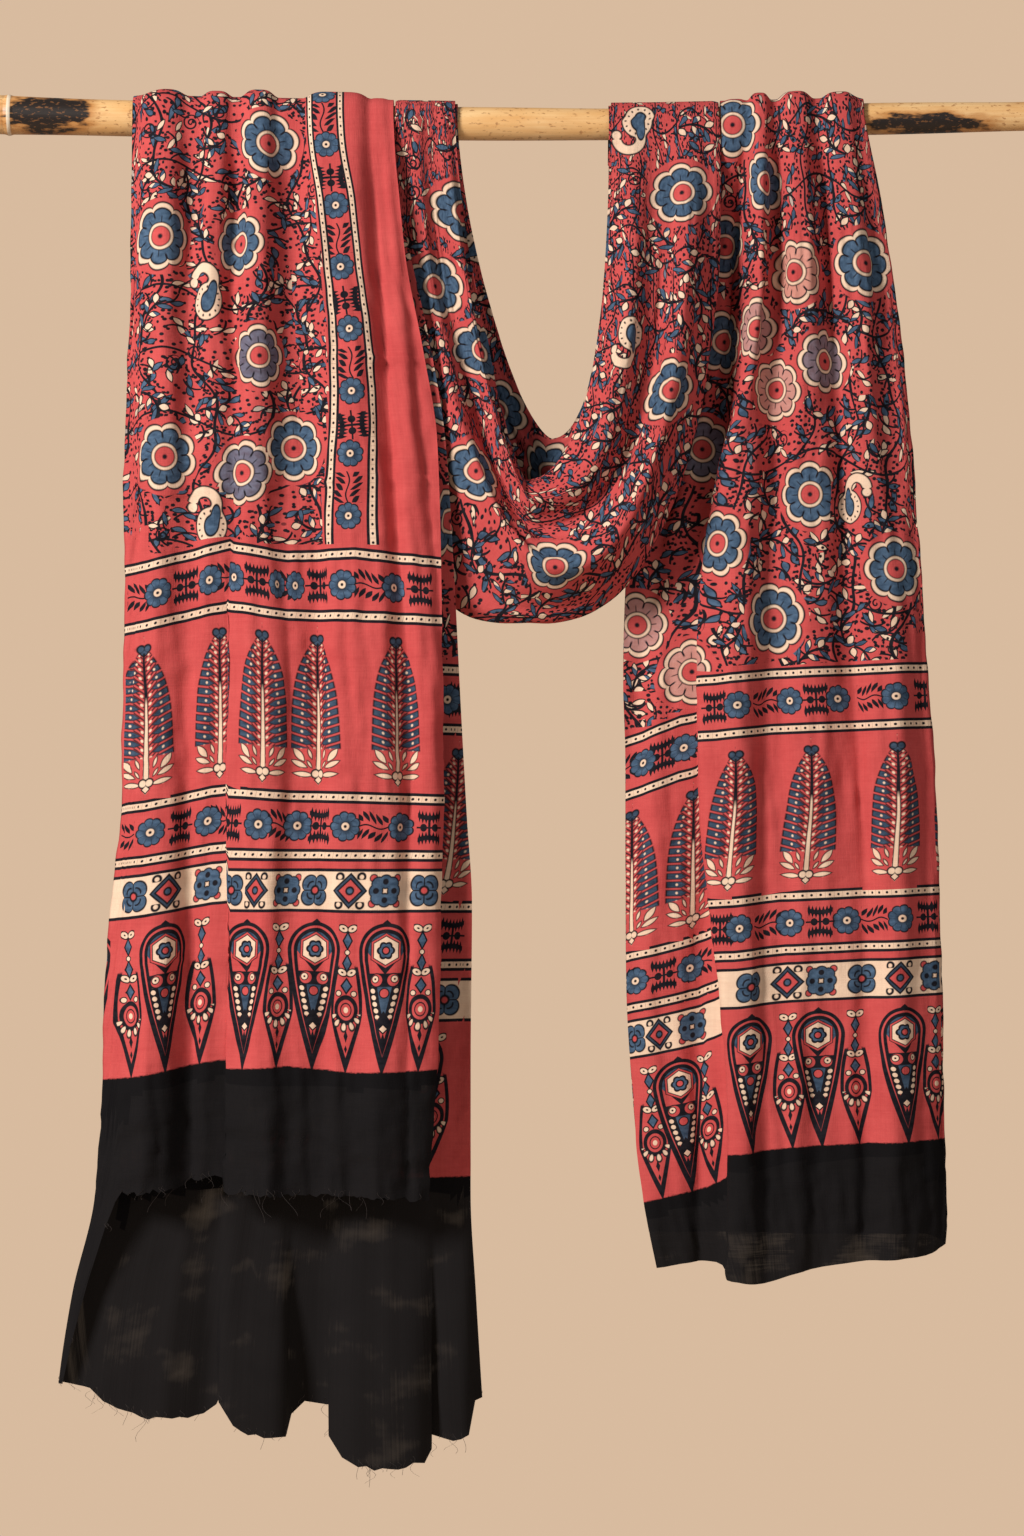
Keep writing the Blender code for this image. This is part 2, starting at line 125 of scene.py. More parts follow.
# The right tail: its front layer steps forward at a pleat
Pleated = namedtuple("Pleated", "down front_selvedge fold pleat side_out front_out gap")
RIGHT_TAIL = (
    Pleated(5, 607.5, 715.5, 626, 4.5, 4.5, 2.4),
    Pleated(24, 608, 719, 626, 4.6, 6, 2.6),
    Pleated(60, 606.5, 726, 626, -5, 9, 5),
    Pleated(118, 598, 735, 626, -7, 12, 7),
    Pleated(221, 575, 747, 616, -9, 16, 8),
    Pleated(286, 554, 753, 603, -8, 18, 8),
    Pleated(356, 536, 759, 592.5, -4, 20, 8),
    Pleated(432, 534, 763, 589, 3, 21, 8),
    Pleated(491, 535.5, 766.5, 588.5, 8, 22, 8),
    Pleated(600, 535.5, 771.5, 597, 11, 24, 9),
    Pleated(660, 536, 773, 605, 13, 26, 9),
    Pleated(746, 541, 776, 610, 15, 28, 10),
    Pleated(822, 549, 775.5, 609, 17, 30, 10),
    Pleated(880, 560, 772, 607, 18, 31, 10),
)

# A fold is a ridge that runs down a tail. Its height, width and place change evenly from start to end.
Fold = namedtuple("Fold", "start end across_top across_low half_top half_low rise_top rise_low edge")
LEFT_FRONT_FOLDS = (
    Fold(5, 500, 187, 180, 20, 26, 2.0, 3.0, 2.0),
    Fold(40, 330, 187, 183, 18, 26, 4.5, 2.0, 2.0),
    Fold(5, 420, 227, 228, 12, 20, 1.8, 2.0, 2.0),
    Fold(40, 300, 227, 226, 12, 16, 4.0, 1.0, 2.0),
    Fold(5, 470, 259, 262, 15, 24, 2.4, 3.0, 2.0),
    Fold(40, 360, 259, 262, 14, 18, 5.5, 2.5, 2.0),
    Fold(5, 620, 318, 345, 26, 36, 1.6, 5.0, 3.0),
    Fold(40, 420, 318, 340, 26, 34, 5.5, 3.0, 3.0),
    Fold(5, 420, 349, 386, 8, 14, 1.5, 5.0, 2.0),
    Fold(420, 815, 180, 172, 34, 40, 0.0, 8.0, 2.0),
    Fold(420, 815, 290, 286, 34, 44, 0.0, 8.0, 2.0),
    Fold(500, 815, 366, 362, 24, 34, 0.0, 6.0, 2.0),
)
LEFT_BACK_FOLDS = (
    Fold(790, 990, 196, 168, 40, 52, 0.0, 9.0, 2.0),
    Fold(770, 980, 256, 257, 30, 30, 0.0, 24.0, 4.0),
    Fold(770, 980, 352, 352, 42, 43, 0.0, 32.0, 4.0),
    Fold(770, 980, 406, 408, 14, 15, 0.0, 15.0, 4.0),
)
RIGHT_FRONT_FOLDS = (
    Fold(5, 480, 619, 566, 8, 28, 1.6, 5.0, 2.0),
    Fold(5, 460, 637, 612, 9, 24, 2.4, 6.0, 2.0),
    Fold(40, 300, 637, 624, 9, 16, 5.0, 2.0, 2.0),
    Fold(5, 560, 664, 682, 15, 34, 2.2, 4.0, 2.0),
    Fold(40, 360, 664, 676, 14, 24, 6.0, 2.0, 2.0),
    Fold(5, 640, 698, 744, 16, 28, 1.8, 6.0, 2.0),
    Fold(40, 420, 698, 734, 15, 24, 4.5, 2.0, 2.0),
    Fold(480, 874, 640, 636, 34, 38, 0.0, 9.0, 2.0),
    Fold(480, 874, 720, 716, 30, 34, 0.0, 3.0, 2.0),
)

# The back layer steps forward more slowly than the pleat
BACK_STEP_START = 8.0
BACK_STEP_WIDTH = 60.0
Pleat = namedtuple("Pleat", "start full half overlap step")
LEFT_PLEAT = Pleat(330, 400, 12.0, 5.5, 7.0)
LEFT_PLEAT_ACROSS = 238.0
RIGHT_PLEAT = Pleat(150, 300, 12.0, 5.5, 0.0)

Hem = namedtuple("Hem", "across down")
LEFT_FRONT_HEM = (
    Hem(139, 814), Hem(183, 811), Hem(220, 801), Hem(238, 813), Hem(325, 814), Hem(390, 818),
)
LEFT_BACK_HEM = (
    Hem(112, 956), Hem(150, 978), Hem(181, 983), Hem(211, 980), Hem(227, 966), Hem(236, 986),
    Hem(261, 995), Hem(280, 993), Hem(288, 972), Hem(310, 973), Hem(318, 1007), Hem(352, 1017),
    Hem(384, 1012), Hem(394, 997), Hem(416, 999), Hem(424, 972), Hem(431, 969),
)
RIGHT_FRONT_HEM = (
    Hem(560, 871), Hem(600, 866), Hem(612, 876), Hem(634, 880), Hem(667, 872), Hem(700, 866),
    Hem(772, 860),
)
RIGHT_BACK_DOWN = 846.0

# The swag's lines, from the open top edge (0) to the fold at its foot (1)
Line = namedtuple("Line", "place left low right down left_bend right_bend bulge")
SWAG_FRONT = (
    Line(0.00, 407, 460, 525, 281, 1.35, 2.2, 12),
    Line(0.24, 399, 463, 542, 297, 1.35, 2.9, 32),
    Line(0.46, 388, 468, 562, 317, 1.60, 2.6, 19),
    Line(0.72, 378, 480, 585, 349, 1.80, 2.3, 40),
    Line(0.88, 368, 477, 598, 374, 2.50, 2.3, 15),
    Line(1.00, 362, 472, 606, 386, 4.00, 2.4, 4),
)
SWAG_BACK = (
    Line(0.00, 409, 480, 523, 247, 1.45, 2.3, 22),
    Line(0.50, 386, 474, 564, 322, 1.80, 2.3, 17),
    Line(0.88, 367, 474, 598, 374, 2.60, 2.3, 8),
    Line(1.00, 362, 472, 606, 386, 4.00, 2.4, 4),
)
Lean = namedtuple("Lean", "along out")
SWAG_LEAN = (
    Lean(0, 3.1), Lean(0.07, -4), Lean(0.18, -10), Lean(0.3, -10), Lean(0.4, -6), Lean(0.5, 6),
    Lean(0.65, 17), Lean(0.85, 19), Lean(0.94, 9), Lean(1, 3.1),
)
LOOP_SWAY = (Lean(0, 0), Lean(0.25, 9), Lean(0.5, 4), Lean(0.75, -8), Lean(0.9, -4), Lean(1, 0))
Tube = namedtuple("Tube", "place half rise")
SWAG_TUBES = (Tube(0.22, 0.2, 5.0), Tube(0.70, 0.2, 6.0))

# Grooves run down between the ridges, close to the pole
Groove = namedtuple("Groove", "start end across_top across_low half depth")
LEFT_GROOVES = (
    Groove(0, 200, 210, 207, 7, 4.5),
    Groove(0, 180, 243, 240, 5, 2.5),
    Groove(0, 360, 283, 289, 8, 5.5),
    Groove(60, 470, 312, 330, 6, 2.0),
    Groove(0, 300, 348, 372, 5, 2.5),
    Groove(150, 640, 296, 318, 16, 4.0),
    Groove(420, 760, 200, 204, 16, 3.0),
)
RIGHT_GROOVES = (
    Groove(0, 300, 628, 607, 6, 4.5),
    Groove(0, 260, 649, 652, 7, 5.5),
    Groove(0, 330, 681, 700, 7, 3.5),
    Groove(150, 560, 640, 655, 12, 4.0),
    Groove(260, 700, 700, 712, 16, 3.0),
    Groove(520, 860, 676, 680, 16, 3.0),
)
GROOVE_CLEARANCE = 1.2
# Below the pole the ridges stand out this much more than on the solid
RIDGE_BOOST = 0.8
# Each side of a lobe in the long back hem is folded under
LOBE_SIDES = (231.8, 282.0, 312.8, 390.8)
LOBE_PLEAT = Pleat(800, 960, 10.0, 5.0, 0.0)
Crease = namedtuple("Crease", "down half height")
PRESS_CREASES = (
    Crease(193, 1.7, 1.6), Crease(285, 1.7, 1.6), Crease(493, 1.6, 0.8), Crease(640, 1.8, 0.8),
)
TUCK = (Hem(139, 772), Hem(228, 753), Hem(234, 766), Hem(302, 769), Hem(334, 785), Hem(390, 790))
TUCK_STEP = 1.6

# The print's bands, from the middle of the first dotted strip down to the hem
STRIPS = (0.0, 45.0, 180.0, 223.0)
FIELD_END = -8.0
TREES_START = 53.0
TREES_END = 175.6
CREAM_START = 229.8
CREAM_TOP = 235.0
CREAM_FOOT = 263.0
CREAM_END = 268.5
BLACK_START = 381.0
PENDANTS_END = 394.0
NO_BAND = -999.0
# The border down the front layer's selvedge, by distance from it
SIDE_STRIPS = (60.5, 95.0)
SIDE_MIDDLE = 79.0
SIDE_END = 101.5
SIDE_FLOWER_PITCH = 47.0
# Near the pole part of the border is lost in a groove
SIDE_GATHER = 0.69
SIDE_GATHER_START = 100.0
SIDE_GATHER_LENGTH = 225.0
# The regions and layers are set this far apart when the nearest motif is looked for
APART = 2000.0

# Where the band lines sit: how far they hang below a level line, at several places over the width
Warp = namedtuple("Warp", "down values")
LEFT_STRIP_DOWN = 339.0
# Each tail's pleat, where the bands jump, and its way over the width in the tables below
LEFT_PLEAT_ACROSS, LEFT_PLEAT_WAY = 238.0, 0.67
RIGHT_PLEAT_ACROSS, RIGHT_PLEAT_WAY = 600.0, 0.26
LEFT_WARP_WAYS = (0.0, 0.274, 0.495, 0.669, 0.671, 1.0)
LEFT_WARPS = (
    Warp(339, (5, -2, 0, -7, -9, 11)),
    Warp(384, (3, 0, -1, -8, -9, 10)),
    Warp(520, (2, 0, -1, -4, -8, 10)),
    Warp(574, (0, 0, 0, 0, -8, 7)),
    Warp(718, (1, 3, -2, 1, -8, 10)),
)
BACK_LAYER_DROP = 82.0
RIGHT_STRIP_DOWN = 421.5
RIGHT_BAND_SCALE = 381.0 / 352.5
RIGHT_WARP_WAYS = (0.0, 0.21, 0.259, 0.261, 0.5, 1.0)
RIGHT_WARPS = (
    Warp(421, (58, 40, 37, 11, 5, 0)),
    Warp(748, (48, 37, 24, 11, 5, 0)),
)

# Motifs of the field, by the place where each is seen
Motif = namedtuple("Motif", "across down size turn fade")
LEFT_FLOWERS = (
    Motif(187, 100, 26.5, 0.1, 0), Motif(268, 27, 26.5, 0.5, 0), Motif(246, 106, 24.5, 0.2, 0),
    Motif(262, 190, 24.5, 0.0, 0.1), Motif(191, 264, 26.5, 0.3, 0), Motif(248, 276, 25.5, 0.2, 0.1),
    Motif(287, 256, 25.5, 0.0, 0),
)
SWAG_FLOWERS = (
    Motif(391, 134, 25.5, 0.1, 0), Motif(422, 276, 25.5, 0.4, 0), Motif(482, 347, 25.5, 0.2, 0),
    Motif(414, 79, 25.5, 0.3, 0), Motif(427, 183, 24.5, 0.0, 0), Motif(578, 65, 25.5, 0.1, 0),
    Motif(568, 216, 25.5, 0.3, 0),
)
RIGHT_FLOWERS = (
    Motif(616, 13, 25.5, 0.0, 0), Motif(641, 56, 24.5, 0.2, 0), Motif(610, 104, 24.5, 0.1, 0),
    Motif(661, 128, 25.5, 0.3, 0.7), Motif(715, 118, 26.5, 0.0, 0), Motif(611, 175, 24.5, 0.4, 0),
    Motif(634, 170, 24.5, 0.2, 0.5), Motif(685, 190, 24.5, 0.1, 0.2), Motif(649, 211, 24.5, 0.0, 0.6),
    Motif(593, 257, 25.5, 0.2, 0.1), Motif(673, 290, 25.5, 0.1, 0), Motif(604, 328, 25.5, 0.3, 0),
    Motif(646, 385, 27.5, 0.2, 0), Motif(739, 346, 25.5, 0.0, 0), Motif(544, 389, 25.5, 0.1, 0.5),
    Motif(583, 426, 25.5, 0.0, 0.6), Motif(657, -8, 25.5, 0.0, 0.2),
)
LEFT_PAISLEYS = (Motif(220, 139, 24, 0.2, 0), Motif(225, 308, 24, 0.1, 0))
SWAG_PAISLEYS = (Motif(543, 15, 23, 0.0, 0), Motif(537, 181, 22, 0.1, 0))
RIGHT_PAISLEYS = (Motif(704, 295, 21, 0.0, 0),)

# Motifs of the bands, by the place across where each is seen
LEFT_FLOWER_ROWS = ((187, 225, 242, 275, 288, 323, 363), (181, 222, 263, 290, 327, 367.5))
RIGHT_FLOWER_ROWS = (
    (544, 580.5, 619, 658, 694.5, 738),
    (543, 583.5, 619, 658, 700, 742),
)
FLOWER_ROW_MIDDLES = (22.5, 201.5)
LEFT_TREES = (179, 234, 264, 305, 364)
RIGHT_TREES = (540, 585, 615, 674, 737)
TREE_MIDDLE = 114.0
TREE_HALF = 57.0
LEFT_MEDALLIONS = (166, 194, 221, 240, 260, 282, 304, 329, 357, 385)
RIGHT_MEDALLIONS = (542, 561, 583, 627, 655, 682, 712, 740, 767)
MEDALLION_KINDS = (0, 1, 2)
LEFT_LARGE_PENDANTS = (193, 252, 304.5, 358)
LEFT_NARROW_PENDANTS = (162.5, 218, 278, 328, 384)
RIGHT_LARGE_PENDANTS = (574, 628, 679.5, 742)
RIGHT_NARROW_PENDANTS = (550, 594, 655.5, 708, 769)
PENDANT_TOP = 268.0
BACK_PITCH = 52.0
BACK_REPEATS = 6

# How close the fill motifs lie
FLOWER_SPACING = 64.0
FOLD_SHARE = 0.14
SPRIG_SPACING = 24.0
SPRIG_REACH = 16.0
FLOWER_REACH = 36.0
SIDE_REACH = 17.0
BAND_REACH = 140.0
SPRIG_FROM_FLOWER = 32.0
CANDIDATES = 9000


def column(table, name):
    return np.array([getattr(row, name) for row in table], float)


def smooth_curve(keys, values, at):
    """A curve through the table's points that never swings past them."""
    step = np.diff(keys)
    slope = np.diff(values) / step
    turn = slope[:-1] * slope[1:] > 0
    inner = np.zeros(len(keys) - 2)
    inner[turn] = 2 * slope[:-1][turn] * slope[1:][turn] / (slope[:-1][turn] + slope[1:][turn])
    tangent = np.concatenate(([slope[0]], inner, [slope[-1]]))
    at = np.clip(at, keys[0], keys[-1])
    left = np.clip(np.searchsorted(keys, at, side="right") - 1, 0, len(step) - 1)
    t = (at - keys[left]) / step[left]
    rise = values[left + 1] - values[left]
    start, end = tangent[left] * step[left], tangent[left + 1] * step[left]
    return values[left] + t * (start + t * (3 * rise - 2 * start - end + t * (start + end - 2 * rise)))


def read(table, key, name, at):
    return smooth_curve(column(table, key), column(table, name), at)


def ease(t):
    t = np.clip(t, 0.0, 1.0)
    return t * t * (3 - 2 * t)


def mix(a, b, share):
    return a + (b - a) * share


def pole_radius(across):
    return read(POLE, "across", "diameter", across) / 2


def pole_down(across):
    return read(POLE, "across", "sag", across)


def rise_of(folds, across, down):
    """How far all the ridges together lift the cloth at a place."""
    total = np.zeros(np.broadcast(across, down).shape)
    for fold in folds:
        share = np.clip((down - fold.start) / (fold.end - fold.start), 0, 1)
        centre = mix(fold.across_top, fold.across_low, share)
        half = mix(fold.half_top, fold.half_low, share)
        rise = mix(fold.rise_top, fold.rise_low, ease(share))
        body = 1 - np.clip(np.abs(across - centre) / half, 0, 1) ** fold.edge
        total += rise * ease(body)
    return total


def pleated(pleat, across, centre, down, step):
    """Folds the cloth back under itself at a line: its new place across and how far it comes forward."""
    share = ease((down - pleat.start) / (pleat.full - pleat.start))
    t = np.clip((across - centre) / pleat.half, -1, 1)
    moved = across - share * pleat.overlap * np.sin(math.pi * t)
    return moved, step * ease((t + 1) / 2)


def columns():
    """Places over the width: -1 the front layer's selvedge, 0 the fold, 1 the back layer's selvedge."""
    front = np.linspace(-1, -TURN, FRONT_COLUMNS + 1)
    turn = np.linspace(-TURN, TURN, 2 * TURN_COLUMNS + 1)[1:-1]
    back = np.linspace(TURN, 1, BACK_COLUMNS + 1)
    return np.concatenate((front, turn, back))


def layers(place):
    """The front layer's share, the fold's swelling and the way from a selvedge to the fold."""
    k = np.clip(place / TURN, -1, 1)
    return (1 - np.sin(k * math.pi / 2)) / 2, np.cos(k * math.pi / 2), 1 - np.abs(place)


def on_pole(across, angle, out):
    """A point round the pole: angle 0 is the front and pi the back."""
    across = across * np.ones_like(angle)
    reach = pole_radius(across) + out
    return np.stack((across, -reach * np.cos(angle), reach * np.sin(angle) - pole_down(across)), axis=-1)


def below_pole(across, down, out):
    return np.stack((across, -(pole_radius(across) + out), -down), axis=-1)


def boost(down):
    return 1 + RIDGE_BOOST * ease((down - 15) / 60)


def left_tail(place, along):
    """The left tail: along is 0 at the pole and 1 at the hem."""
    front, swell, way = layers(place)
    back_hem = read(LEFT_BACK_HEM, "across", "down", mix(*LEFT_BACK_CORNERS, way))
    front_hem = read(LEFT_FRONT_HEM, "across", "down", mix(*LEFT_FRONT_CORNERS, way))
    hem = mix(back_hem, front_hem, ease((front - 0.6) / 0.4))
    top = pole_down(mix(LEFT_CROSSING.front_selvedge, LEFT_CROSSING.fold, way))
    down = mix(top, hem, along)
    fold = read(LEFT_TAIL, "down", "fold", down)
    front_out = read(LEFT_TAIL, "down", "front_out", down)
    back_out = read(LEFT_TAIL, "down", "back_out", down)
    gap = (front_out - back_out) / 2
    inner = fold + gap
    front_across = mix(read(LEFT_TAIL, "down", "front_selvedge", down), inner, way)
    back_across = mix(read(LEFT_TAIL, "down", "back_selvedge", down), inner, way)
    step = LEFT_PLEAT.step * ease((down - LEFT_PLEAT.start) / (LEFT_PLEAT.full - LEFT_PLEAT.start))
    front_rise = rise_of(LEFT_FRONT_FOLDS, front_across, down) * boost(down)
    front_across, forward = pleated(LEFT_PLEAT, front_across, LEFT_PLEAT_ACROSS, down, step)
    front_out = front_out + (front_rise + forward) * near_edge(way)
    back_out = back_out + rise_of(LEFT_BACK_FOLDS, back_across, down)
    for side in LOBE_SIDES:
        back_across, _ = pleated(LOBE_PLEAT, back_across, side, down, 0.0)
    front_out = front_out - groove_depth(LEFT_GROOVES, front_across, down)
    front_out = np.maximum(front_out, back_out + GROOVE_CLEARANCE)
    across = mix(back_across, front_across, front) - gap * swell
    return below_pole(across, down, mix(back_out, front_out, front))


def right_tail(place, along):
    """The right tail: along is 0 at the pole and 1 at the hem."""
    front, swell, way = layers(place)
    front_hem = read(RIGHT_FRONT_HEM, "across", "down", mix(*RIGHT_FRONT_CORNERS, way))
    hem = mix(RIGHT_BACK_DOWN, front_hem, front)
    top = pole_down(mix(RIGHT_CROSSING.front_selvedge, RIGHT_CROSSING.fold, way))
    down = mix(top, hem, along)
    fold = read(RIGHT_TAIL, "down", "fold", down)
    side_out = read(RIGHT_TAIL, "down", "side_out", down)
    full_out = read(RIGHT_TAIL, "down", "front_out", down)
    gap = read(RIGHT_TAIL, "down", "gap", down)
    pleat = read(RIGHT_TAIL, "down", "pleat", down)
    flat = mix(read(RIGHT_TAIL, "down", "front_selvedge", down), fold - gap / 2, way)
    rise = rise_of(RIGHT_FRONT_FOLDS, flat, down) * boost(down)
    moved, forward = pleated(RIGHT_PLEAT, flat, pleat, down, full_out - side_out)
    front_out = side_out + forward + rise * near_edge(way)
    back_step = ease((flat - pleat - BACK_STEP_START) / BACK_STEP_WIDTH)
    back_out = side_out - gap + (full_out - side_out) * back_step
    front_out = front_out - groove_depth(RIGHT_GROOVES, moved, down)
    front_out = np.maximum(front_out, back_out + GROOVE_CLEARANCE)
    across = mix(flat, moved, front) + gap / 2 * swell
    return below_pole(across, down, mix(back_out, front_out, front))


def swag_line(table, way, along):
    """Across and down of the swag's lines, evenly spaced along each."""
    left = read(table, "place", "left", way)
    low = read(table, "place", "low", way)
    right = read(table, "place", "right", way)
    deep = read(table, "place", "down", way)
    fine = np.linspace(-1, 1, 241)[:, None] * np.ones_like(way)
    turn = np.abs(fine) * math.pi / 2
    bends = [read(table, "place", name, way) for name in ("left_bend", "right_bend")]
    bend = np.where(fine < 0, *bends)
    reach = np.where(fine < 0, left - low, right - low)
    across = low + reach * np.sin(turn) ** (2 / bend)
    top = np.where(fine < 0, pole_down(left), pole_down(right))
    down = top + (deep - top) * np.maximum(np.cos(turn), 0) ** (2 / bend)
    pace = np.hypot(np.diff(across, axis=0), np.diff(down, axis=0))
    length = np.vstack((np.zeros_like(way), np.cumsum(pace, axis=0)))
    found_across, found_down = np.empty((2,) + along.shape)
    for i in range(len(way)):
        at = along[:, i] * length[-1, i]
        found_across[:, i] = np.interp(at, length[:, i], across[:, i])
        found_down[:, i] = np.interp(at, length[:, i], down[:, i])
    return found_across, found_down


def swag(place, along):
    """The swag: along is 0 at its left crossing and 1 at its right one.

    Its front layer is the back one of the tails.
    """
    behind, swell, way = layers(place)
    along = along * np.ones_like(way)
    front_across, front_down = swag_line(SWAG_FRONT, way, along)
    back_across, back_down = swag_line(SWAG_BACK, way, along)
    middle = np.sin(math.pi * along) ** np.where(along < 0.5, 3.0, 1.4)
    near = 0.3 + 0.7 * ease(np.minimum(along, 1 - along) / 0.14)
    half_gap = LAYER_GAP / 2 * (1 + 0.8 * ease(np.minimum(along, 1 - along) / 0.1))
    lean = read(SWAG_LEAN, "along", "out", along)
    tubes = sum(t.rise * ease(1 - np.abs(way - t.place) / t.half) for t in SWAG_TUBES)
    front_out = lean + half_gap + tubes * near + read(SWAG_FRONT, "place", "bulge", way) * middle
    back_out = lean - half_gap - read(SWAG_BACK, "place", "bulge", way) * middle
    side = np.where(along < 0.5, -1, 1) * (1 - middle)
    across = mix(front_across, back_across, behind) + half_gap * swell * side
    down = mix(front_down, back_down, behind) + half_gap * swell * middle
    return below_pole(across, down, mix(front_out, back_out, behind))


def near_edge(way):
    return mix(ease((1 - way) / EDGE_SHARE), 1.0, EDGE_RISE)


def over_pole(place, crossing, angle, outer_front, bump_folds=()):
    """The sheet round the pole at one of its crossings."""
    front, swell, way = layers(place)
    outer = front if outer_front else 1 - front
    sign = np.sign(crossing.fold - crossing.front_selvedge)
    half = LAYER_GAP / 2
    selvedge = mix(crossing.back_selvedge, crossing.front_selvedge, front)
    across = mix(selvedge, crossing.fold - sign * half, way) + sign * half * swell
    out = INNER_OUT + LAYER_GAP * outer
    if bump_folds:
        bumps = rise_of(bump_folds, across, pole_down(across)) * outer * near_edge(way)
        out = out + bumps * (1 - BACK_PRESS * np.sin(angle / 2) ** 2)
    return on_pole(across, angle, out)


def behind_pole(start, end, place, along, outer_front):
    """The short loop behind the pole, from one crossing to the next."""
    front, _, _ = layers(place)
    outer = (front if outer_front else 1 - front) * 2 - 1
    shift = ease((along - 0.25) / 0.65)
    across = mix(start[:, 0], end[:, 0], shift)
    dip = np.sin(math.pi * along)
    spread = LAYER_GAP * (0.5 + dip) * outer
    first, last = start[:, 1].mean(), end[:, 1].mean()
    uneven_start = (start[:, 1] - first - LAYER_GAP / 2 * outer) * (1 - ease(along / 0.3))
    uneven_end = (end[:, 1] - last + LAYER_GAP / 2 * outer) * ease((along - 0.7) / 0.3)
    middle = mix(first, last, ease(along)) + read(LOOP_SWAY, "along", "out", along)
    back = middle + spread * np.cos(math.pi * along) + uneven_start + uneven_end
    high = mix(start[:, 2], end[:, 2], shift)
    return np.stack((across, back, high - (LOOP_DROP + spread) * dip), axis=-1)


def swag_crossing(which):
    front, back = SWAG_FRONT, SWAG_BACK
    return Crossing(
        getattr(back[0], which), getattr(front[0], which), getattr(front[-1], which)
    )


def groove_depth(grooves, across, down):
    """How deep the grooves go at a place."""
    total = np.zeros(np.broadcast(across, down).shape)
    for groove in grooves:
        share = (down - groove.start) / (groove.end - groove.start)
        centre = mix(groove.across_top, groove.across_low, share)
        fade = ease((down - 12) / 40) * ease((1 - share) / 0.6) * ease(share / 0.08 + 0.2)
        total += groove.depth * fade * np.exp(-(((across - centre) / groove.half) ** 2))
    return total


def stretches(place):
    """The sheet's stretches from hem to hem, each with its name and its rows of points."""
    tail = np.linspace(1, 0, TAIL_ROWS + 1)[:, None]
    hang = np.linspace(0, 1, SWAG_ROWS + 1)[:, None]
    turn = np.linspace(0, math.pi, ARC_ROWS + 1)[1:, None]
    loop = np.linspace(0, 1, LOOP_ROWS + 1)[1:-1, None]
    left, right = swag_crossing("left"), swag_crossing("right")
    first = over_pole(place, LEFT_CROSSING, turn, True, LEFT_FRONT_FOLDS)
    second = over_pole(place, left, turn[::-1], False)
    third = over_pole(place, right, turn, False)
    fourth = over_pole(place, RIGHT_CROSSING, turn[::-1], True, RIGHT_FRONT_FOLDS)
    return [
        ("left tail", left_tail(place, tail)),
        ("left arc", first),
        ("loop", behind_pole(first[-1], second[0], place, loop, True)),
        ("swag", second),
        ("swag", swag(place, hang)),
        ("swag", third),
        ("loop", behind_pole(third[-1], fourth[0], place, loop, False)),
        ("right arc", fourth),
        ("right tail", right_tail(place, tail[::-1])),
    ]


def uneven(across, along, seed, across_length, along_length, count=18):
    """Smooth uneven waves of about unit height, added up from plane waves."""
    draw = random.Random(seed)
    total = np.zeros(across.shape)
    for _ in range(count):
        over = draw.gauss(0, 1) / across_length
        way = draw.gauss(0, 1) / along_length
        total += np.cos(2 * math.pi * (over * across + way * along) + draw.uniform(0, 2 * math.pi))
    return total / math.sqrt(count / 2)


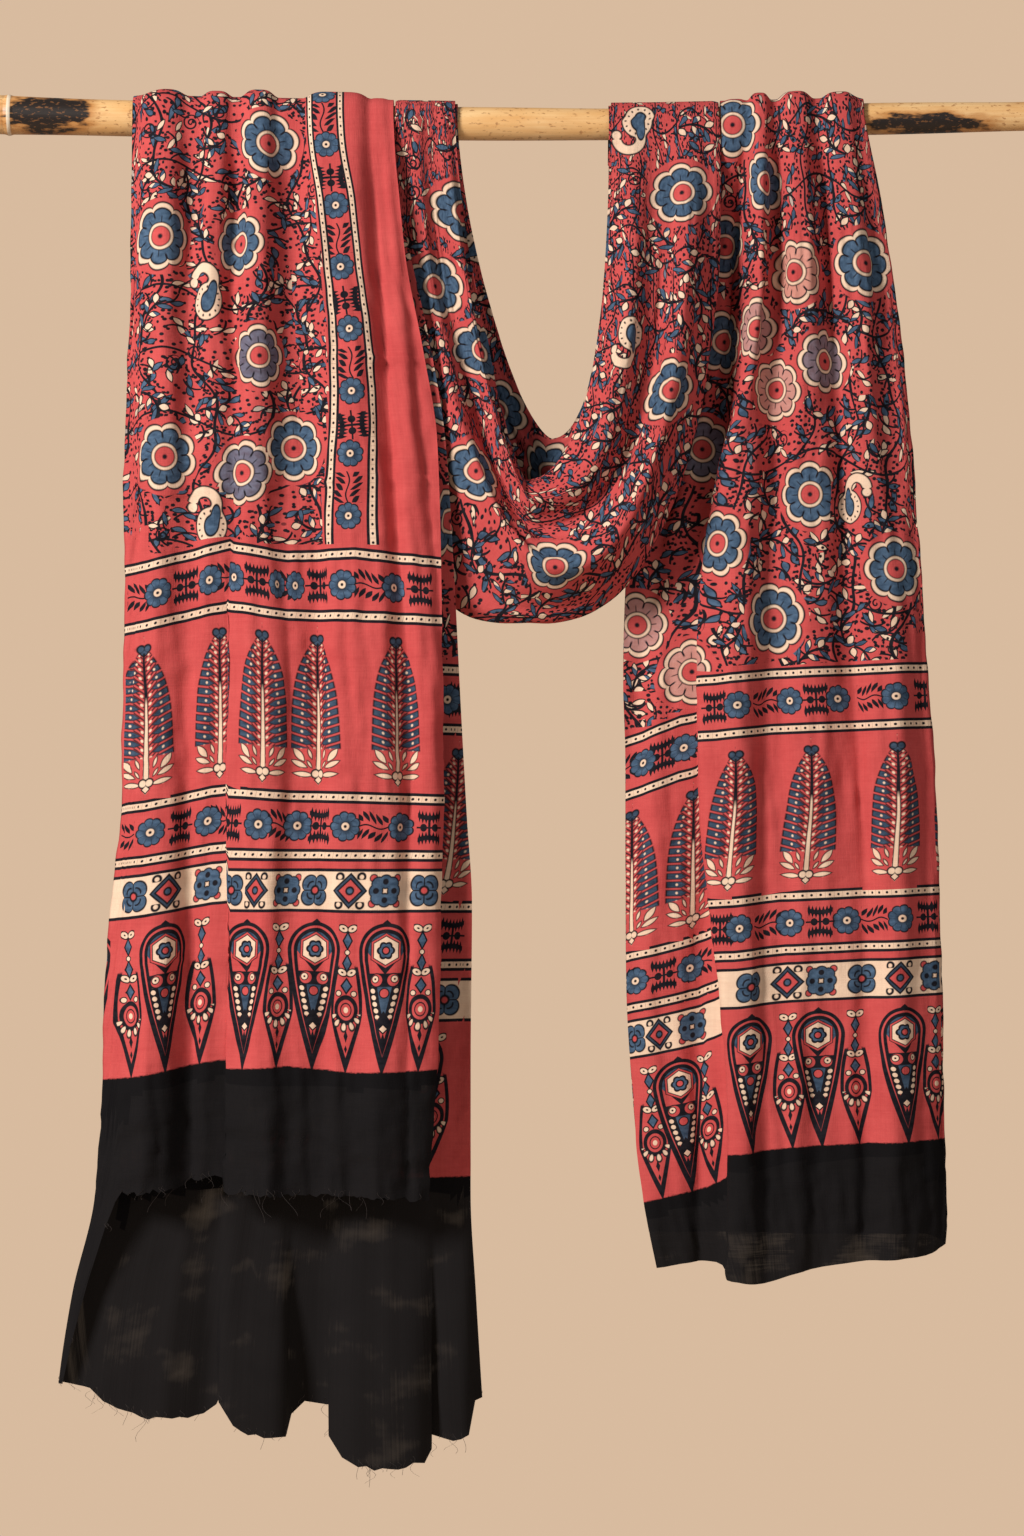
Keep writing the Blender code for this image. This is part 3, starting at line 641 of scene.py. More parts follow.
class Sheet:
    """The cloth's points with their places on the flat cloth and in its bands."""

    def __init__(self):
        self.place = columns()
        parts = stretches(self.place)
        self.points = np.concatenate([rows for _, rows in parts])
        self.names = np.concatenate([[name] * len(rows) for name, rows in parts])
        self.layer = np.broadcast_to(self.place, self.points.shape[:2])
        self.measure()
        self.find_bands()
        self.crease()

    def rows_named(self, name):
        return (self.names == name)[:, None]

    def measure(self):
        """Distances over the cloth. across: from the lengthwise fold. along: from the left crossing.

        level_across: from the front selvedge, as a level line runs.
        """
        step = np.linalg.norm(np.diff(self.points, axis=1), axis=2)
        across = np.pad(np.cumsum(step, axis=1), ((0, 0), (1, 0)))
        self.across = across - across[:, [np.argmin(np.abs(self.place))]]
        height = self.points[..., 2]
        gather = mix(SIDE_GATHER, 1.0, ease((-height - SIDE_GATHER_START) / SIDE_GATHER_LENGTH))
        self.from_selvedge = (self.across - self.across[:, :1]) / gather
        level = np.hypot(np.diff(self.points[..., 0], axis=1), np.diff(self.points[..., 1], axis=1))
        self.level_across = np.pad(np.cumsum(level, axis=1), ((0, 0), (1, 0)))
        even = np.concatenate(([0], np.cumsum(step.mean(axis=0))))
        self.even_across = np.broadcast_to(even, self.across.shape)
        step = np.linalg.norm(np.diff(self.points, axis=0), axis=2)
        along = np.pad(np.cumsum(step, axis=0), ((1, 0), (0, 0)))
        self.along = along - along[TAIL_ROWS]
        even = np.concatenate(([0], np.cumsum(step.mean(axis=1))))
        front = self.layer[0] < -TURN
        level = height[:, front].mean(axis=1)
        self.even_along = np.tile(even[:, None], (1, len(self.place)))
        for tail in (np.arange(TAIL_ROWS + 1), np.arange(len(even) - 1, len(even) - TAIL_ROWS - 2, -1)):
            self.even_along[tail] = np.interp(height[tail], level[tail], even[tail])
        over = np.gradient(self.points, axis=1)
        down = np.gradient(self.points, axis=0)
        size = np.linalg.norm(over, axis=2) * np.linalg.norm(down, axis=2)
        self.lean = np.clip(np.sum(over * down, axis=2) / np.maximum(size, 1e-9), -0.9, 0.9)
        loops = np.nonzero(self.names == "loop")[0]
        middle = len(self.names) // 2
        first, second = loops[loops < middle].mean(), loops[loops > middle].mean()
        row = np.arange(len(self.names))
        region = (row > first).astype(int) + (row > second)
        apart = np.broadcast_arrays(region[:, None] * APART, (self.layer > 0) * APART, 0)
        self.spots = self.points + np.stack(apart, axis=-1)

    def warped(self, down, tail, pleat, pleat_way, ways, warps, start):
        """How far a tail's points lie below its first strip, and which of them lie past the pleat."""
        edge, fold = read(tail, "down", "front_selvedge", down), read(tail, "down", "fold", down)
        folded = np.clip((pleat - edge) / (fold - edge), 0.05, 0.95)
        way = np.broadcast_to(1 - np.abs(self.place), down.shape)
        past = way > folded
        way = np.where(past, 1 - (1 - way) * (1 - pleat_way) / (1 - folded), way * pleat_way / folded)
        over = np.stack([np.interp(way, ways, warp.values) for warp in warps])
        level = np.interp(down, [warp.down for warp in warps], range(len(warps)))
        low = np.minimum(level.astype(int), len(warps) - 2)
        hang = [np.take_along_axis(over, (low + i)[None], axis=0)[0] for i in range(2)]
        return down - mix(*hang, level - low) - start, past & (self.layer < 0)

    def find_bands(self):
        """band: how far a point lies below the first dotted strip."""
        down = -self.points[..., 2]
        behind = ease(self.layer / TURN)
        left, right = self.rows_named("left tail"), self.rows_named("right tail")
        left_band, left_past = self.warped(
            down, LEFT_TAIL, LEFT_PLEAT_ACROSS, LEFT_PLEAT_WAY,
            LEFT_WARP_WAYS, LEFT_WARPS, LEFT_STRIP_DOWN,
        )
        pleat = read(RIGHT_TAIL, "down", "pleat", down)
        right_band, right_past = self.warped(
            down, RIGHT_TAIL, pleat, RIGHT_PLEAT_WAY, RIGHT_WARP_WAYS, RIGHT_WARPS, RIGHT_STRIP_DOWN
        )
        self.band = np.full(down.shape, NO_BAND)
        self.band = np.where(left, left_band - BACK_LAYER_DROP * behind, self.band)
        self.band = np.where(right, right_band * RIGHT_BAND_SCALE, self.band)
        self.past = (left & left_past) | (right & right_past)

    def crease(self):
        """Adds the press creases, the tuck, the frayed edges and the wrinkles."""
        points = self.points
        down = -points[..., 2]
        front = ease(-self.layer / TURN)
        left = self.rows_named("left tail") * front
        relief = np.zeros(down.shape)
        across, along = self.even_across, self.even_along
        sway = 2.5 * uneven(across, along, 3, 160, 900)
        for crease in PRESS_CREASES:
            relief += crease.height * np.exp(-(((down + sway - crease.down) / crease.half) ** 2)) * left
        tuck = read(TUCK, "across", "down", points[..., 0])
        relief -= TUCK_STEP * ease((down - tuck) / 3.0) * left
        hem = np.maximum(self.rows_named("left tail") * ease(1 - (self.along - self.along[0]) / 14), 0)
        points[..., 2] += 0.9 * hem * uneven(across, along * 0, 5, 8, 100)
        normal = np.cross(np.gradient(points, axis=1), np.gradient(points, axis=0))
        normal /= np.maximum(np.linalg.norm(normal, axis=2, keepdims=True), 1e-9)
        facing = np.where(normal[..., 1:2] < 0, 1, -1)
        free = ease((down - 25) / 120)
        black = ease((self.band - BLACK_START) / 20)
        wrinkles = 1.0 * uneven(across, along, 7, 30, 300)
        wrinkles += 0.45 * uneven(across, along, 8, 14, 60)
        wrinkles += 0.3 * black * uneven(across + 0.8 * along, along, 9, 11, 24)
        points += normal * (wrinkles * free)[..., None]
        points += normal * facing * relief[..., None]


Stamp = namedtuple(
    "Stamp",
    "kind row column size turn fade banded middle up squeeze",
    defaults=(0.0, 0.0, False, 0.0, 1, 1.0),
)


def closest(off, allowed):
    """The row and column of the allowed point where off is least."""
    return np.unravel_index(np.argmin(np.where(allowed, off, np.inf)), off.shape)


def nearest(sheet, allowed, across, down):
    gap = (sheet.points[..., 0] - across) ** 2 + (sheet.points[..., 2] + down) ** 2
    return closest(gap, allowed)


def seen_stamps(sheet, motifs, allowed, kind, up):
    made = []
    for motif in motifs:
        row, column = nearest(sheet, allowed, motif.across, motif.down)
        made.append(Stamp(kind, row, column, motif.size, motif.turn, motif.fade, up=up))
    return made


def scatter(sheet, allowed, spacing, taken, clearance, draw):
    """Places on the flat cloth that keep their distance from each other and from those taken."""
    rows, columns_ = np.nonzero(allowed)
    picks = [draw.randrange(len(rows)) for _ in range(CANDIDATES)]
    flat = np.array([sheet.spots[t.row, t.column] for t in taken]).reshape(-1, 3)
    found, chosen = np.empty((0, 3)), []
    for pick in picks:
        row, column = rows[pick], columns_[pick]
        here = sheet.spots[row, column]
        if len(flat) and np.min(np.sum((flat - here) ** 2, axis=1)) < clearance**2:
            continue
        if len(found) and np.min(np.sum((found - here) ** 2, axis=1)) < spacing**2:
            continue
        found = np.vstack((found, here))
        chosen.append((row, column))
    return chosen


def field_stamps(sheet):
    """The big flowers and paisleys, first those that show and then the hidden ones."""
    front, back = sheet.layer < 0, sheet.layer > 0
    left = (sheet.rows_named("left tail") | sheet.rows_named("left arc")) & front
    right = (sheet.rows_named("right tail") | sheet.rows_named("right arc")) & front
    bag = sheet.rows_named("swag") & back
    stamps = seen_stamps(sheet, LEFT_FLOWERS, left, 0, 1)
    stamps += seen_stamps(sheet, SWAG_FLOWERS, bag, 0, -1)
    stamps += seen_stamps(sheet, RIGHT_FLOWERS, right, 0, -1)
    stamps += seen_stamps(sheet, LEFT_PAISLEYS, left, 1, 1)
    stamps += seen_stamps(sheet, SWAG_PAISLEYS, bag, 1, -1)
    stamps += seen_stamps(sheet, RIGHT_PAISLEYS, right, 1, -1)
    draw = random.Random(21)
    hidden = (sheet.band < FIELD_END - 24) & ~left & ~right & ~bag & (np.abs(sheet.layer) > FOLD_SHARE)
    for row, column in scatter(sheet, hidden, FLOWER_SPACING, stamps, FLOWER_SPACING, draw):
        kind = 1 if draw.random() < 0.2 else 0
        stamps.append(Stamp(kind, row, column, 25, draw.uniform(0, 6.28)))
    return stamps


def sprig_stamps(sheet, flowers):
    draw = random.Random(34)
    border = in_side_border(sheet, sheet.from_selvedge, sheet.band, sheet.layer)
    field = (sheet.band < FIELD_END - 4) & ~border & (np.abs(sheet.layer) > TURN)
    stamps = []
    for row, column in scatter(sheet, field, SPRIG_SPACING, flowers, SPRIG_FROM_FLOWER, draw):
        kind = draw.choice((0, 0, 0, 1, 2))
        stamps.append(Stamp(kind, row, column, 1, draw.uniform(0, 6.28)))
    return stamps


def in_side_border(sheet, from_selvedge, band, layer):
    rows = np.isin(sheet.names, ("left tail", "left arc", "loop"))[:, None]
    rows = rows & (np.arange(len(sheet.names)) < len(sheet.names) // 2)[:, None]
    if band.shape != rows.shape[:1] + band.shape[1:]:
        rows = rows[:-1]
    return rows & (from_selvedge < SIDE_END) & (band < FIELD_END) & (layer < 0)


def band_stamps(sheet, name, middle, places, kinds, size, half):
    """A row of motifs in one band of a tail's front layer, narrower where two lie close."""
    front = sheet.rows_named(name) & (sheet.layer < -0.2 * TURN)
    made = []
    for i, across in enumerate(places):
        past = across < LEFT_PLEAT_ACROSS if name == "left tail" else across > RIGHT_PLEAT_ACROSS
        off = np.abs(sheet.band - middle) * 3 + np.abs(sheet.points[..., 0] - across)
        allowed = front & (sheet.past == past)
        row, column = closest(off, allowed)
        made.append(Stamp(kinds[i % len(kinds)], row, column, size, banded=True, middle=middle))
    return squeezed(sheet, made, half)


def squeezed(sheet, stamps, half):
    across = np.array([sheet.level_across[stamp.row, stamp.column] for stamp in stamps])
    gaps = np.abs(across[:, None] - across) + np.eye(len(stamps)) * APART
    shares = np.clip(gaps.min(axis=1) / (2.05 * half), 0.5, 1)
    return [stamp._replace(squeeze=share) for stamp, share in zip(stamps, shares)]


def back_band_stamps(sheet, name, middle, kinds, size, start):
    """The same band on the back layer, evenly spaced."""
    allowed = sheet.rows_named(name) & (sheet.layer > 0.5 * TURN)
    made = []
    for i in range(BACK_REPEATS):
        off = np.abs(sheet.band - middle) * 3 + np.abs(sheet.across - start - BACK_PITCH * i)
        row, column = closest(off, allowed)
        made.append(Stamp(kinds[i % len(kinds)], row, column, size, banded=True, middle=middle))
    return made


def between(places, pleat):
    """The places half-way between those given, two in a wide gap at a pleat, and one past each end."""
    found = [places[0] - (places[1] - places[0]) / 2]
    for a, b in zip(places, places[1:]):
        wide = a < pleat < b and b - a > 30
        found += [pleat - 8, pleat + 3] if wide else [(a + b) / 2]
    return found + [places[-1] + (places[-1] - places[-2]) / 2]


def all_band_stamps(sheet):
    """For each banded material the stamps of its motif slot and of its sprig slot."""
    motifs = {kind: [] for kind in (BORDER, TREES, MEDALLIONS, PENDANTS)}
    sprigs = {kind: [] for kind in (BORDER, PENDANTS)}
    cream_middle = (CREAM_TOP + CREAM_FOOT) / 2
    for name, pleat, rows, trees, medallions, large, narrow in (
        ("left tail", LEFT_PLEAT_ACROSS, LEFT_FLOWER_ROWS, LEFT_TREES, LEFT_MEDALLIONS,
         LEFT_LARGE_PENDANTS, LEFT_NARROW_PENDANTS),
        ("right tail", RIGHT_PLEAT_ACROSS, RIGHT_FLOWER_ROWS, RIGHT_TREES, RIGHT_MEDALLIONS,
         RIGHT_LARGE_PENDANTS, RIGHT_NARROW_PENDANTS),
    ):
        for places, middle in zip(rows, FLOWER_ROW_MIDDLES):
            motifs[BORDER] += band_stamps(sheet, name, middle, places, (0,), 11.5, 11)
            motifs[BORDER] += back_band_stamps(sheet, name, middle, (0,), 12, 12)
            sprigs[BORDER] += band_stamps(sheet, name, middle, between(places, pleat), (0, 1), 1, 10)
            sprigs[BORDER] += back_band_stamps(sheet, name, middle, (0, 1), 1, 34)
        motifs[TREES] += band_stamps(sheet, name, TREE_MIDDLE, trees, (0,), TREE_HALF, 21)
        motifs[TREES] += back_band_stamps(sheet, name, TREE_MIDDLE, (0,), TREE_HALF, 20)
        motifs[MEDALLIONS] += band_stamps(sheet, name, cream_middle, medallions, MEDALLION_KINDS, 13, 12)
        motifs[MEDALLIONS] += back_band_stamps(sheet, name, cream_middle, MEDALLION_KINDS, 13, 12)
        motifs[MEDALLIONS] += back_band_stamps(sheet, name, cream_middle, MEDALLION_KINDS[::-1], 13, 38)
        motifs[PENDANTS] += band_stamps(sheet, name, PENDANT_TOP, large, (0,), 1, 20)
        motifs[PENDANTS] += back_band_stamps(sheet, name, PENDANT_TOP, (0,), 1, 12)
        sprigs[PENDANTS] += band_stamps(sheet, name, PENDANT_TOP, narrow, (0,), 1, 12)
        sprigs[PENDANTS] += back_band_stamps(sheet, name, PENDANT_TOP, (0,), 1, 38)
    return motifs, sprigs


def side_stamps(sheet):
    """The flowers and sprays that run up beside the front layer's selvedge."""
    column = int(np.argmin(np.abs(sheet.from_selvedge[TAIL_ROWS // 2] - SIDE_MIDDLE)))
    motifs, sprigs = [], []
    ends = np.nonzero(sheet.band[:TAIL_ROWS, column] > FIELD_END)[0]
    start = sheet.along[ends[-1], column] + SIDE_FLOWER_PITCH * 0.42
    last = sheet.along[len(sheet.names) // 2 - SWAG_ROWS // 2 - ARC_ROWS, column]
    for i in range(int((last - start) / SIDE_FLOWER_PITCH)):
        for half, found, size in ((0.0, motifs, 10.5), (0.5, sprigs, 1)):
            along = start + (i + half) * SIDE_FLOWER_PITCH
            row = int(np.argmin(np.abs(sheet.along[:, column] - along)))
            here = int(np.argmin(np.abs(sheet.from_selvedge[row] - SIDE_MIDDLE)))
            found.append(Stamp(i % 2 if half else 0, row, here, size, math.pi / 2))
    return motifs, sprigs


MATERIAL_NAMES = ("Field", "Border", "Trees", "Medallions", "Pendants", "Black end", "Folded edge")
FIELD, BORDER, TREES, MEDALLIONS, PENDANTS, BLACK, EDGE = range(7)
# The folded edge's own material runs this far past the bands
EDGE_MARGIN = 22.0


def middles(grid):
    return (grid[:-1, :-1] + grid[1:, :-1] + grid[:-1, 1:] + grid[1:, 1:]) / 4


class Faces:
    """What each face of the sheet needs to know about the print."""

    def __init__(self, sheet):
        self.sheet = sheet
        self.band = middles(sheet.band)
        self.across = middles(sheet.level_across)
        self.spots = middles(sheet.spots)
        self.past = middles(sheet.past.astype(float)) > 0.5
        self.from_selvedge = middles(sheet.from_selvedge)
        self.side = in_side_border(sheet, self.from_selvedge, self.band, middles(sheet.layer))
        self.kind = self.choose_kind()
        turning = np.abs(middles(sheet.layer)) < TURN
        banded = (self.band > FIELD_END - EDGE_MARGIN) & (self.band < PENDANTS_END + EDGE_MARGIN)
        self.material = np.where(turning & banded & ~self.side, EDGE, self.kind)

    def choose_kind(self):
        chosen = np.full(self.band.shape, FIELD)
        for start, kind in (
            (FIELD_END, BORDER), (TREES_START, TREES), (TREES_END, BORDER), (CREAM_START, MEDALLIONS),
            (CREAM_END, PENDANTS), (PENDANTS_END, BLACK),
        ):
            chosen[self.band >= start] = kind
        chosen[self.side] = BORDER
        return chosen

    def nearest_stamps(self, stamps, allowed, reach):
        """For each face the number of its nearest stamp, or -1 where none is in reach."""
        sheet = self.sheet
        found = np.full(self.band.shape, -1)
        tree_ = kdtree.KDTree(len(stamps))
        banded = stamps[0].banded
        for number, stamp in enumerate(stamps):
            at = stamp.row, stamp.column
            spot = sheet.spots[at]
            if banded:
                spot = self.band_spot(sheet.level_across[at], stamp.middle, sheet.past[at], stamp.row)
            tree_.insert(spot, number)
        tree_.balance()
        for at in zip(*np.nonzero(allowed)):
            spot = self.spots[at]
            if banded:
                spot = self.band_spot(self.across[at], self.band[at], self.past[at], at[0])
            _, number, gap = tree_.find(spot)
            if gap < reach:
                found[at] = number
        return found

    def band_spot(self, across, band, past, row):
        """A place in the bands, with the two tails and the two sides of a pleat kept far apart."""
        right = row > len(self.sheet.names) // 2
        return across, band + APART * right, APART * (1 + 2 * past)


def corner_places(sheet, stamps, chosen, rows, columns_):
    """Each corner's place inside its face's stamp: across, up, and the stamp's kind plus its fading."""
    none = chosen < 0
    table = np.array([tuple(map(float, stamp)) for stamp in stamps])[np.maximum(chosen, 0)]
    kind, row, column, size, turn, fade, banded, middle, up, squeeze = table.T
    row, column = row.astype(int), column.astype(int)
    x = np.where(
        banded > 0,
        sheet.level_across[rows, columns_] - sheet.level_across[row, column],
        sheet.across[rows, columns_] - sheet.across[rows, column],
    )
    lean = np.where(banded > 0, 0, sheet.lean[row, column])
    y = np.where(banded > 0, middle - sheet.band[rows, columns_],
                 up * (sheet.along[rows, columns_] - sheet.along[row, columns_] + lean * x))
    x = x * np.sqrt(1 - lean**2) / squeeze
    turned_x = (x * np.cos(turn) + y * np.sin(turn)) / size
    turned_y = (y * np.cos(turn) - x * np.sin(turn)) / size
    place = np.stack((turned_x, turned_y, kind + 0.9 * fade), axis=-1)
    place[none] = FAR
    return place


FAR = (99.0, 99.0, 0.0)


def nearest_of(values, grid):
    """For each place of a grid the nearest of some values."""
    values = np.array(values)
    return values[np.argmin(np.abs(grid[..., None] - values), axis=-1)]


def print_attributes(sheet, mesh, rows, columns_):
    """Writes what the materials read: the flat place, the nearest motif, sprig and strip."""
    faces = Faces(sheet)
    count = len(mesh.polygons)
    corner = np.empty(len(mesh.loops), int)
    mesh.loops.foreach_get("vertex_index", corner)
    corners = rows[corner], columns_[corner]
    face_at = tuple(place.reshape(count, -1).min(axis=1) for place in corners)
    each = len(corner) // count

    def on_corners(grid):
        return np.repeat(grid[face_at], each)

    mesh.polygons.foreach_set("material_index", faces.material[face_at].astype(np.int32))
    flowers = field_stamps(sheet)
    side_motifs, side_sprigs = side_stamps(sheet)
    band_motifs, band_sprigs = all_band_stamps(sheet)
    field = faces.kind == FIELD
    sprigs = sprig_stamps(sheet, flowers)
    motif_slots = [(flowers, field, FLOWER_REACH), (side_motifs, faces.side, SIDE_REACH)]
    sprig_slots = [(sprigs, field, SPRIG_REACH), (side_sprigs, faces.side, SIDE_REACH)]
    for slots, stamps in ((motif_slots, band_motifs), (sprig_slots, band_sprigs)):
        for kind, found in stamps.items():
            slots.append((found, (faces.kind == kind) & ~faces.side, BAND_REACH))
    for name, slots in (("motif", motif_slots), ("sprig", sprig_slots)):
        values = np.tile(FAR, (len(corner), 1))
        for stamps, allowed, reach in slots:
            chosen = on_corners(faces.nearest_stamps(stamps, allowed, reach))
            here = on_corners(allowed)
            values[here] = corner_places(sheet, stamps, chosen, *corners)[here]
        write(mesh, name, "CORNER", values)
    side = on_corners(faces.side)
    middle = on_corners(nearest_of(STRIPS, faces.band))
    side_middle = on_corners(nearest_of(SIDE_STRIPS, faces.from_selvedge))
    off = np.where(side, sheet.from_selvedge[corners] - side_middle, sheet.band[corners] - middle)
    run = np.where(side, sheet.along[corners], sheet.across[corners])
    write(mesh, "strip", "CORNER", np.stack((off, run, on_corners(faces.kind)), axis=-1))
    flat = np.stack((sheet.even_across, sheet.even_along, np.maximum(sheet.band, -100)), axis=-1)
    write(mesh, "flat", "POINT", flat[rows, columns_])


def write(mesh, name, domain, values):
    made = mesh.attributes.new(name, "FLOAT_VECTOR", domain)
    made.data.foreach_set("vector", np.ascontiguousarray(values, dtype=np.float32).ravel())


# How wide the edge between two dyes is, in millimetres
SOFT = 0.4


def blended(tree_, under, over, share):
    """A colour between two others, each a value or a plain colour."""
    node = tree_.nodes.new("ShaderNodeMix")
    node.data_type = "RGBA"
    for place, value in ((0, share), (6, under), (7, over)):
        connect(tree_, value, node.inputs[place])
    return Value(tree_, node.outputs[2])


class Value:
    """A number or colour in a node tree. Arithmetic on it adds Math nodes."""

    def __init__(self, tree, socket):
        self.tree = tree
        self.socket = socket

    def math(self, operation, *others, clamp=False):
        node = self.tree.nodes.new("ShaderNodeMath")
        node.operation = operation
        node.use_clamp = clamp
        for place, value in enumerate((self,) + others):
            connect(self.tree, value, node.inputs[place])
        return Value(self.tree, node.outputs[0])

    def __add__(self, other):
        return self.math("ADD", other)

    def __sub__(self, other):
        return self.math("SUBTRACT", other)

    def __mul__(self, other):
        return self.math("MULTIPLY", other)

    def __rmul__(self, other):
        return self.math("MULTIPLY", other)

    def __truediv__(self, other):
        return self.math("DIVIDE", other)

    def __abs__(self):
        return self.math("ABSOLUTE")

    def below(self, limit, soft=SOFT):
        """1 where this is under the limit and 0 where it is over, with an edge as wide as soft."""
        if isinstance(limit, Value):
            return (limit - self).math("MULTIPLY_ADD", 1 / soft, 0.5, clamp=True)
        return self.math("MULTIPLY_ADD", -1 / soft, limit / soft + 0.5, clamp=True)

    def above(self, limit, soft=SOFT):
        return self.math("MULTIPLY_ADD", 1 / soft, 0.5 - limit / soft, clamp=True)

    def within(self, low, high, soft=SOFT):
        return abs(self - (low + high) / 2).below((high - low) / 2, soft)

    def wrapped(self, pitch):
        """This, taken round to between minus and plus half of the pitch."""
        return self.math("WRAP", pitch / 2, -pitch / 2)

    def paint(self, over, mask):
        """This colour with another laid over it where mask is 1."""
        return blended(self.tree, self, over, mask)

    def rings(self, shape, *layers, soft=SOFT):
        """This colour with dyes laid over it in turn, each where shape is under its limit."""
        colour = self
        for dye, limit in layers:
            colour = colour.paint(dye, shape.below(limit, soft))
        return colour

    def clamped(self):
        """This, kept between 0 and 1."""
        return self.math("MAXIMUM", 0.0).math("MINIMUM", 1.0)


def connect(tree, value, socket):
    if isinstance(value, Value):
        tree.links.new(value.socket, socket)
    elif isinstance(value, tuple):
        socket.default_value = (*value, 1.0) if len(socket.default_value) == 4 else value
    else:
        socket.default_value = value


def leaf_edge(x, y, long, wide):
    """Above 0 inside a pointed leaf that lies along x."""
    return (x * x).math("MULTIPLY_ADD", -wide / long**2, wide) - abs(y)


def length(x, y):
    return (x * x + y * y).math("SQRT")


def angle(x, y):
    return y.math("ARCTAN2", x)


def turned(x, y, degrees):
    c, s = math.cos(math.radians(degrees)), math.sin(math.radians(degrees))
    return x * c + y * s, y * c - x * s


def either(a, b):
    return a.math("MAXIMUM", b)


def both(*masks):
    total = masks[0]
    for mask in masks[1:]:
        total = total * mask
    return total


DYES = ("red", "indigo", "cream", "line")
SOCKETS = {"number": "NodeSocketFloat", "colour": "NodeSocketColor", "vector": "NodeSocketVector"}


def node_group(name, inputs, outputs, build):
    """A node group. build gets its inputs as values by name and returns its outputs by name."""
    group = bpy.data.node_groups.new(name, "ShaderNodeTree")
    for socket, kind in inputs.items():
        group.interface.new_socket(socket, in_out="INPUT", socket_type=SOCKETS[kind])
    for socket, kind in outputs.items():
        group.interface.new_socket(socket, in_out="OUTPUT", socket_type=SOCKETS[kind])
    start = group.nodes.new("NodeGroupInput")
    end = group.nodes.new("NodeGroupOutput")
    made = build(**{socket: Value(group, start.outputs[socket]) for socket in inputs})
    for socket, value in made.items():
        connect(group, value, end.inputs[socket])
    return group


def motif_group(name, build, kinds=False):
    """A motif's group: its place and the dyes go in, and its colour and mask come out."""
    inputs = {"x": "number", "y": "number"}
    if kinds:
        inputs["kind"] = "number"
    inputs.update({dye: "colour" for dye in DYES})
    return node_group(name, inputs, {"colour": "colour", "mask": "number"}, build)


def use(tree, group, **given):
    node = tree.nodes.new("ShaderNodeGroup")
    node.node_tree = group
    for name, value in given.items():
        connect(tree, value, node.inputs[name])
    return {socket.name: Value(tree, socket) for socket in node.outputs}


def attribute(tree, name):
    node = tree.nodes.new("ShaderNodeAttribute")
    node.attribute_name = name
    parts = tree.nodes.new("ShaderNodeSeparateXYZ")
    tree.links.new(node.outputs["Vector"], parts.inputs[0])
    return Value(tree, node.outputs["Vector"]), [Value(tree, parts.outputs[i]) for i in range(3)]


def noise(tree, place, scale, stretch=(1.0, 1.0, 1.0), detail=3.0):
    spread = tree.nodes.new("ShaderNodeVectorMath")
    spread.operation = "MULTIPLY"
    connect(tree, place, spread.inputs[0])
    spread.inputs[1].default_value = stretch
    node = tree.nodes.new("ShaderNodeTexNoise")
    tree.links.new(spread.outputs[0], node.inputs["Vector"])
    node.inputs["Scale"].default_value = scale
    node.inputs["Detail"].default_value = detail
    return Value(tree, node.outputs["Fac"])


def weave(tree, place, fine, long):
    """Noise drawn out along the threads of both ways, added up."""
    one = noise(tree, place, 1.0, (fine, long, 0.0), 2.0)
    return one + noise(tree, place, 1.0, (long, fine, 0.0), 2.0)


def bumped(tree, height, strength, distance):
    node = tree.nodes.new("ShaderNodeBump")
    node.inputs["Strength"].default_value = strength
    node.inputs["Distance"].default_value = distance
    connect(tree, height, node.inputs["Height"])
    return Value(tree, node.outputs[0])


def cells(tree, place, pitch):
    """The place from the nearest of many strewn points, turned at random, and a random number."""
    node = tree.nodes.new("ShaderNodeTexVoronoi")
    node.voronoi_dimensions = "2D"
    node.inputs["Scale"].default_value = 1 / pitch
    node.inputs["Randomness"].default_value = 0.75
    connect(tree, place, node.inputs["Vector"])
    away = tree.nodes.new("ShaderNodeVectorMath")
    away.operation = "SUBTRACT"
    connect(tree, place, away.inputs[0])
    tree.links.new(node.outputs["Position"], away.inputs[1])
    parts = tree.nodes.new("ShaderNodeSeparateXYZ")
    tree.links.new(away.outputs[0], parts.inputs[0])
    picks = tree.nodes.new("ShaderNodeSeparateColor")
    tree.links.new(node.outputs["Color"], picks.inputs[0])
    x, y = Value(tree, parts.outputs[0]), Value(tree, parts.outputs[1])
    spin = Value(tree, picks.outputs[0]) * (2 * math.pi)
    c, s = spin.math("COSINE"), spin.math("SINE")
    return x * c + y * s, y * c - x * s, Value(tree, picks.outputs[1])


def scalloped_flower(x, y, kind, red, indigo, cream, line):
    """Eight lobes in a cream edge round a red eye. The fraction of kind fades its indigo."""
    r = length(x, y)
    four = angle(x, y) * 4
    ribs = abs(four.math("COSINE"))
    q = r / (ribs.math("POWER", 0.6) * 0.16 + 0.84)
    faded = (kind.math("FRACT") * 1.45).math("MINIMUM", 1.0)
    petals = indigo.paint(red.paint(cream, 0.42), faded)
    petals = petals.paint(line, both((ribs * r).below(0.11, 0.08), r.within(0.52, 0.84, 0.08)))
    veins = both((abs(four.math("SINE")) * r).below(0.07, 0.06), r.within(0.36, 0.58, 0.08))
    petals = petals.paint(line, veins * 0.8)
    colour = line.rings(q, (cream, 0.945), (line, 0.825), (petals, 0.77), soft=0.04)
    colour = colour.rings(r, (line, 0.41), (cream, 0.375), (line, 0.30), (red, 0.27), soft=0.04)
    colour = colour.paint(line, r.below(0.07, 0.05))
    return {"colour": colour, "mask": q.below(1.0, 0.04)}


